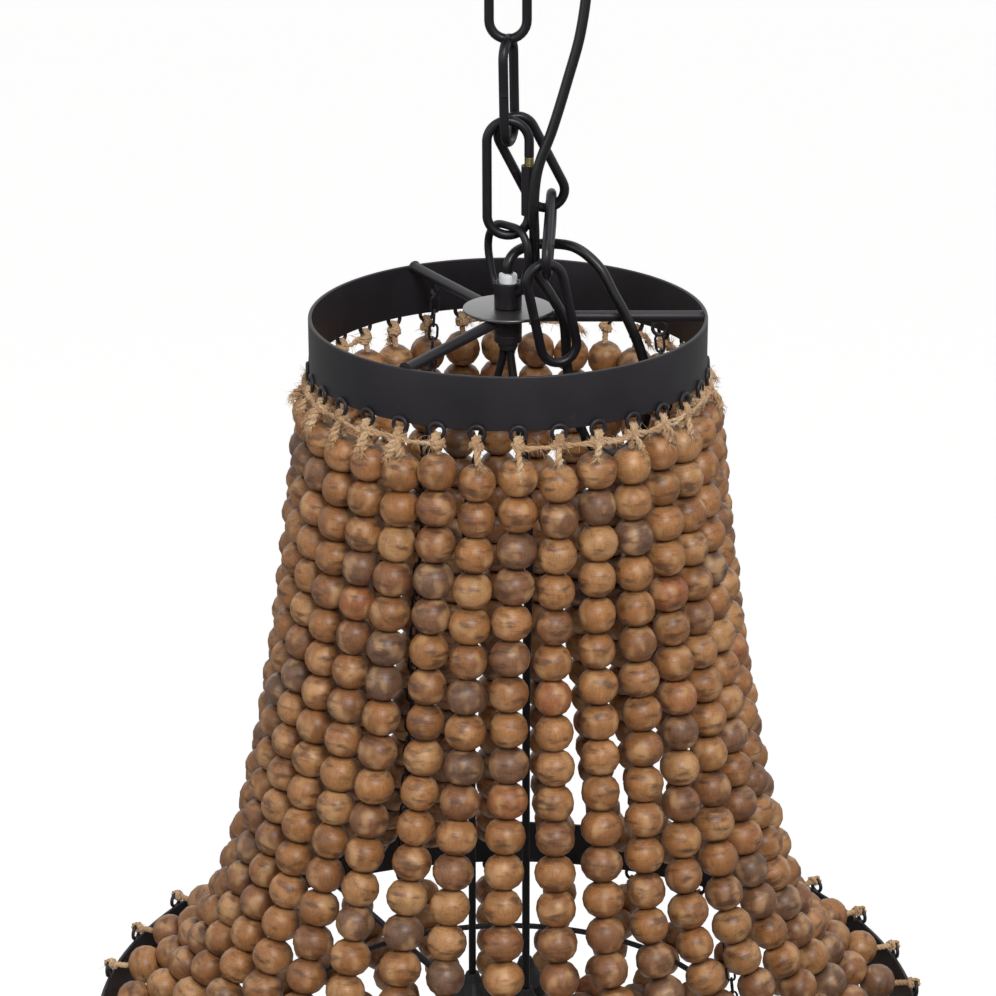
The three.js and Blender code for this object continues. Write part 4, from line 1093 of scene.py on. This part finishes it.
def make_ties(name, strands, anchor, bead, mouth, seed, hairs, turns, wire=EYELET_WIRE, runs=0,
              tails=None, open_gaps=(), ply=0.78):
    """A tie on each strand, and loose runs of the same yarn from knot to knot.

    Anchor is the radius and level of the wire it is tied to, bead the strand's tied bead, mouth the step from
    that bead's middle to the mouth of its hole, and tails the number of loose ends at some strands."""
    chance = random.Random(seed)
    shape = Shape()
    knots = []
    for strand in strands:
        aside = around(1, strand.angle, 0, 1) - around(1, strand.angle, 0)
        knots.append(make_tie(shape, chance, around(anchor[0], strand.angle, anchor[1]),
                              strand.point(strand.beads[bead] + mouth), aside, wire, turns, hairs, ply))
    for number, start in enumerate(knots):
        end = knots[(number + 1) % STRANDS]
        outward = (start + end) / 2
        outward = Vector((outward.x, outward.y, 0)).normalized()
        for k in range(0 if number in open_gaps else runs):
            out, low = 3.0 + chance.uniform(-0.8, 1.0), chance.uniform(-0.6, 1.8)
            lift = (0.9 - 1.8 * k) + chance.uniform(-0.5, 0.5)
            stations = [(0, 0, 0), (0.16, 0.9 * out, lift), (0.5, 0.75 * out, 0.4 * lift - low),
                        (0.84, 0.9 * out, -lift * chance.uniform(0.2, 1) - chance.uniform(-1, 1)),
                        (1, 0, 0)]
            line = [start.lerp(end, t) + outward * push + UP * rise for t, push, rise in stations]
            yarn(shape, line, chance.uniform(0.75, 0.95), 2, chance.uniform(7, 12), 5, chance.uniform(0, 6),
                 1.6, spread=lambda t: 1 + 0.45 * math.cos(FULL_TURN * t))
            loose_hairs(shape, chance, line, 2 * hairs, 6.5)
        for _ in range((tails or {}).get(number, 0)):
            radial = Vector((start.x, start.y, 0)).normalized()
            way = (radial * chance.uniform(0.7, 1.1) + UP.cross(radial) * chance.uniform(-0.9, 0.9)
                   - UP * chance.uniform(0.6, 1.3)).normalized()
            make_tail(shape, chance, start + radial * 2, way, chance.uniform(7, 12))
    shape.piece(name, jute, "lamp", slot=None, sharp=60)


MOUTH, FIRST, LAST = 9.5, 0, -1
RING_REACH = RING_RADIUS + EYELET_REACH
make_ties("crown_ties", UPPER_TIER, (CROWN_RADIUS + EYELET_REACH, CROWN_EYELETS - EYELET_RING), FIRST, MOUTH,
          21, 18, 3.2, runs=2, ply=1.02, open_gaps=(30, 31, 8, 9, 11, 12, 13, 15, 17, 18, 19, 21, 22),
          tails={22: 2, 24: 2, 25: 2, 26: 4, 27: 2, 28: 3, 29: 4, 31: 1, 0: 1, 1: 1, 2: 1, 3: 1, 4: 3, 5: 1,
                 7: 2, 9: 2, 11: 2, 12: 2, 14: 3, 16: 2, 18: 2, 19: 2, 21: 3})
make_ties("big_ring_top_ties", UPPER_TIER, (RING_REACH, RING_TOP_EYELETS + EYELET_RING), LAST, -MOUTH,
          22, 3, 1.6)
make_ties("big_ring_low_ties", LOWER_TIER, (RING_REACH, RING_LOW_EYELETS - EYELET_RING), FIRST, -MOUTH,
          23, 3, 1.6)
make_ties("bottom_ring_ties", LOWER_TIER, (BOTTOM_RING_RADIUS, BOTTOM_RING_LEVEL), LAST, MOUTH,
          24, 2, 1.6, BOTTOM_WIRE)


def make_strand_cords(name, strands):
    """The cord that threads the beads of each strand; it shows in the joints between them."""
    shape = Shape()
    for strand in strands:
        over = math.copysign(4, strand.first - strand.last)
        start, end = strand.beads[0] + over, strand.beads[-1] - over
        shape.tube([strand.point(start + (end - start) * k / 24) for k in range(25)], CORD_RADIUS, 6)
    shape.piece(name, jute, "lamp", slot=None, sharp=60)


make_strand_cords("upper_strand_cords", UPPER_TIER)
make_strand_cords("lower_strand_cords", LOWER_TIER)


# ---- floor, world and lamps

WHITE, FLOOR_LEVEL = (1, 1, 1, 1), -3.0


def make_stage():
    """A plain pale floor far below, a white surround for what the camera and gloss see, and soft lamps."""
    bpy.ops.mesh.primitive_plane_add(size=60, location=(0, 0, FLOOR_LEVEL))
    floor = bpy.context.object
    floor.name = "floor"
    material, tree, shader = new_finish("pale_floor", **{"Base Color": "#f2f2f1", "Roughness": 0.9})
    seen = maths(tree, "MULTIPLY", add_node(tree, "ShaderNodeLightPath").outputs["Is Camera Ray"], 0.68)
    glow = add_node(tree, "ShaderNodeEmission", {"Color": WHITE, "Strength": seen})
    both = add_node(tree, "ShaderNodeAddShader", {0: shader, 1: glow})
    output = next(n for n in tree.nodes if n.type == "OUTPUT_MATERIAL")
    tree.links.new(both.outputs[0], output.inputs["Surface"])
    floor.data.materials.append(material)

    world = bpy.data.worlds.new("studio")
    world.use_nodes = True
    scene.world = world
    tree = world.node_tree
    tree.nodes.clear()
    ray = add_node(tree, "ShaderNodeLightPath").outputs
    seen = maths(tree, "MAXIMUM", ray["Is Camera Ray"], ray["Is Glossy Ray"])
    seen = maths(tree, "MAXIMUM", seen, ray["Is Transmission Ray"])
    light, white = (add_node(tree, "ShaderNodeBackground", {"Color": WHITE, "Strength": strength})
                    for strength in (0.3, 1.0))
    both = add_node(tree, "ShaderNodeMixShader", {0: seen, 1: light, 2: white})
    add_node(tree, "ShaderNodeOutputWorld", {"Surface": both})

    for name, place, size, power in (("key", (0.5, -2.2, 1.4), 1.1, 58),
                                     ("fill", (-2.0, -1.6, 0.4), 1.6, 10), ("top", (0.2, 0.2, 2.2), 1.8, 24)):
        lamp = bpy.data.objects.new(name, bpy.data.lights.new(name, "AREA"))
        lamp.data.shape = "DISK"
        lamp.data.size = size
        lamp.data.energy = power
        lamp.location = place
        lamp.rotation_euler = (Vector(place) - Vector((0, 0, -0.5))).to_track_quat("Z", "Y").to_euler()
        scene.collection.objects.link(lamp)


make_stage()
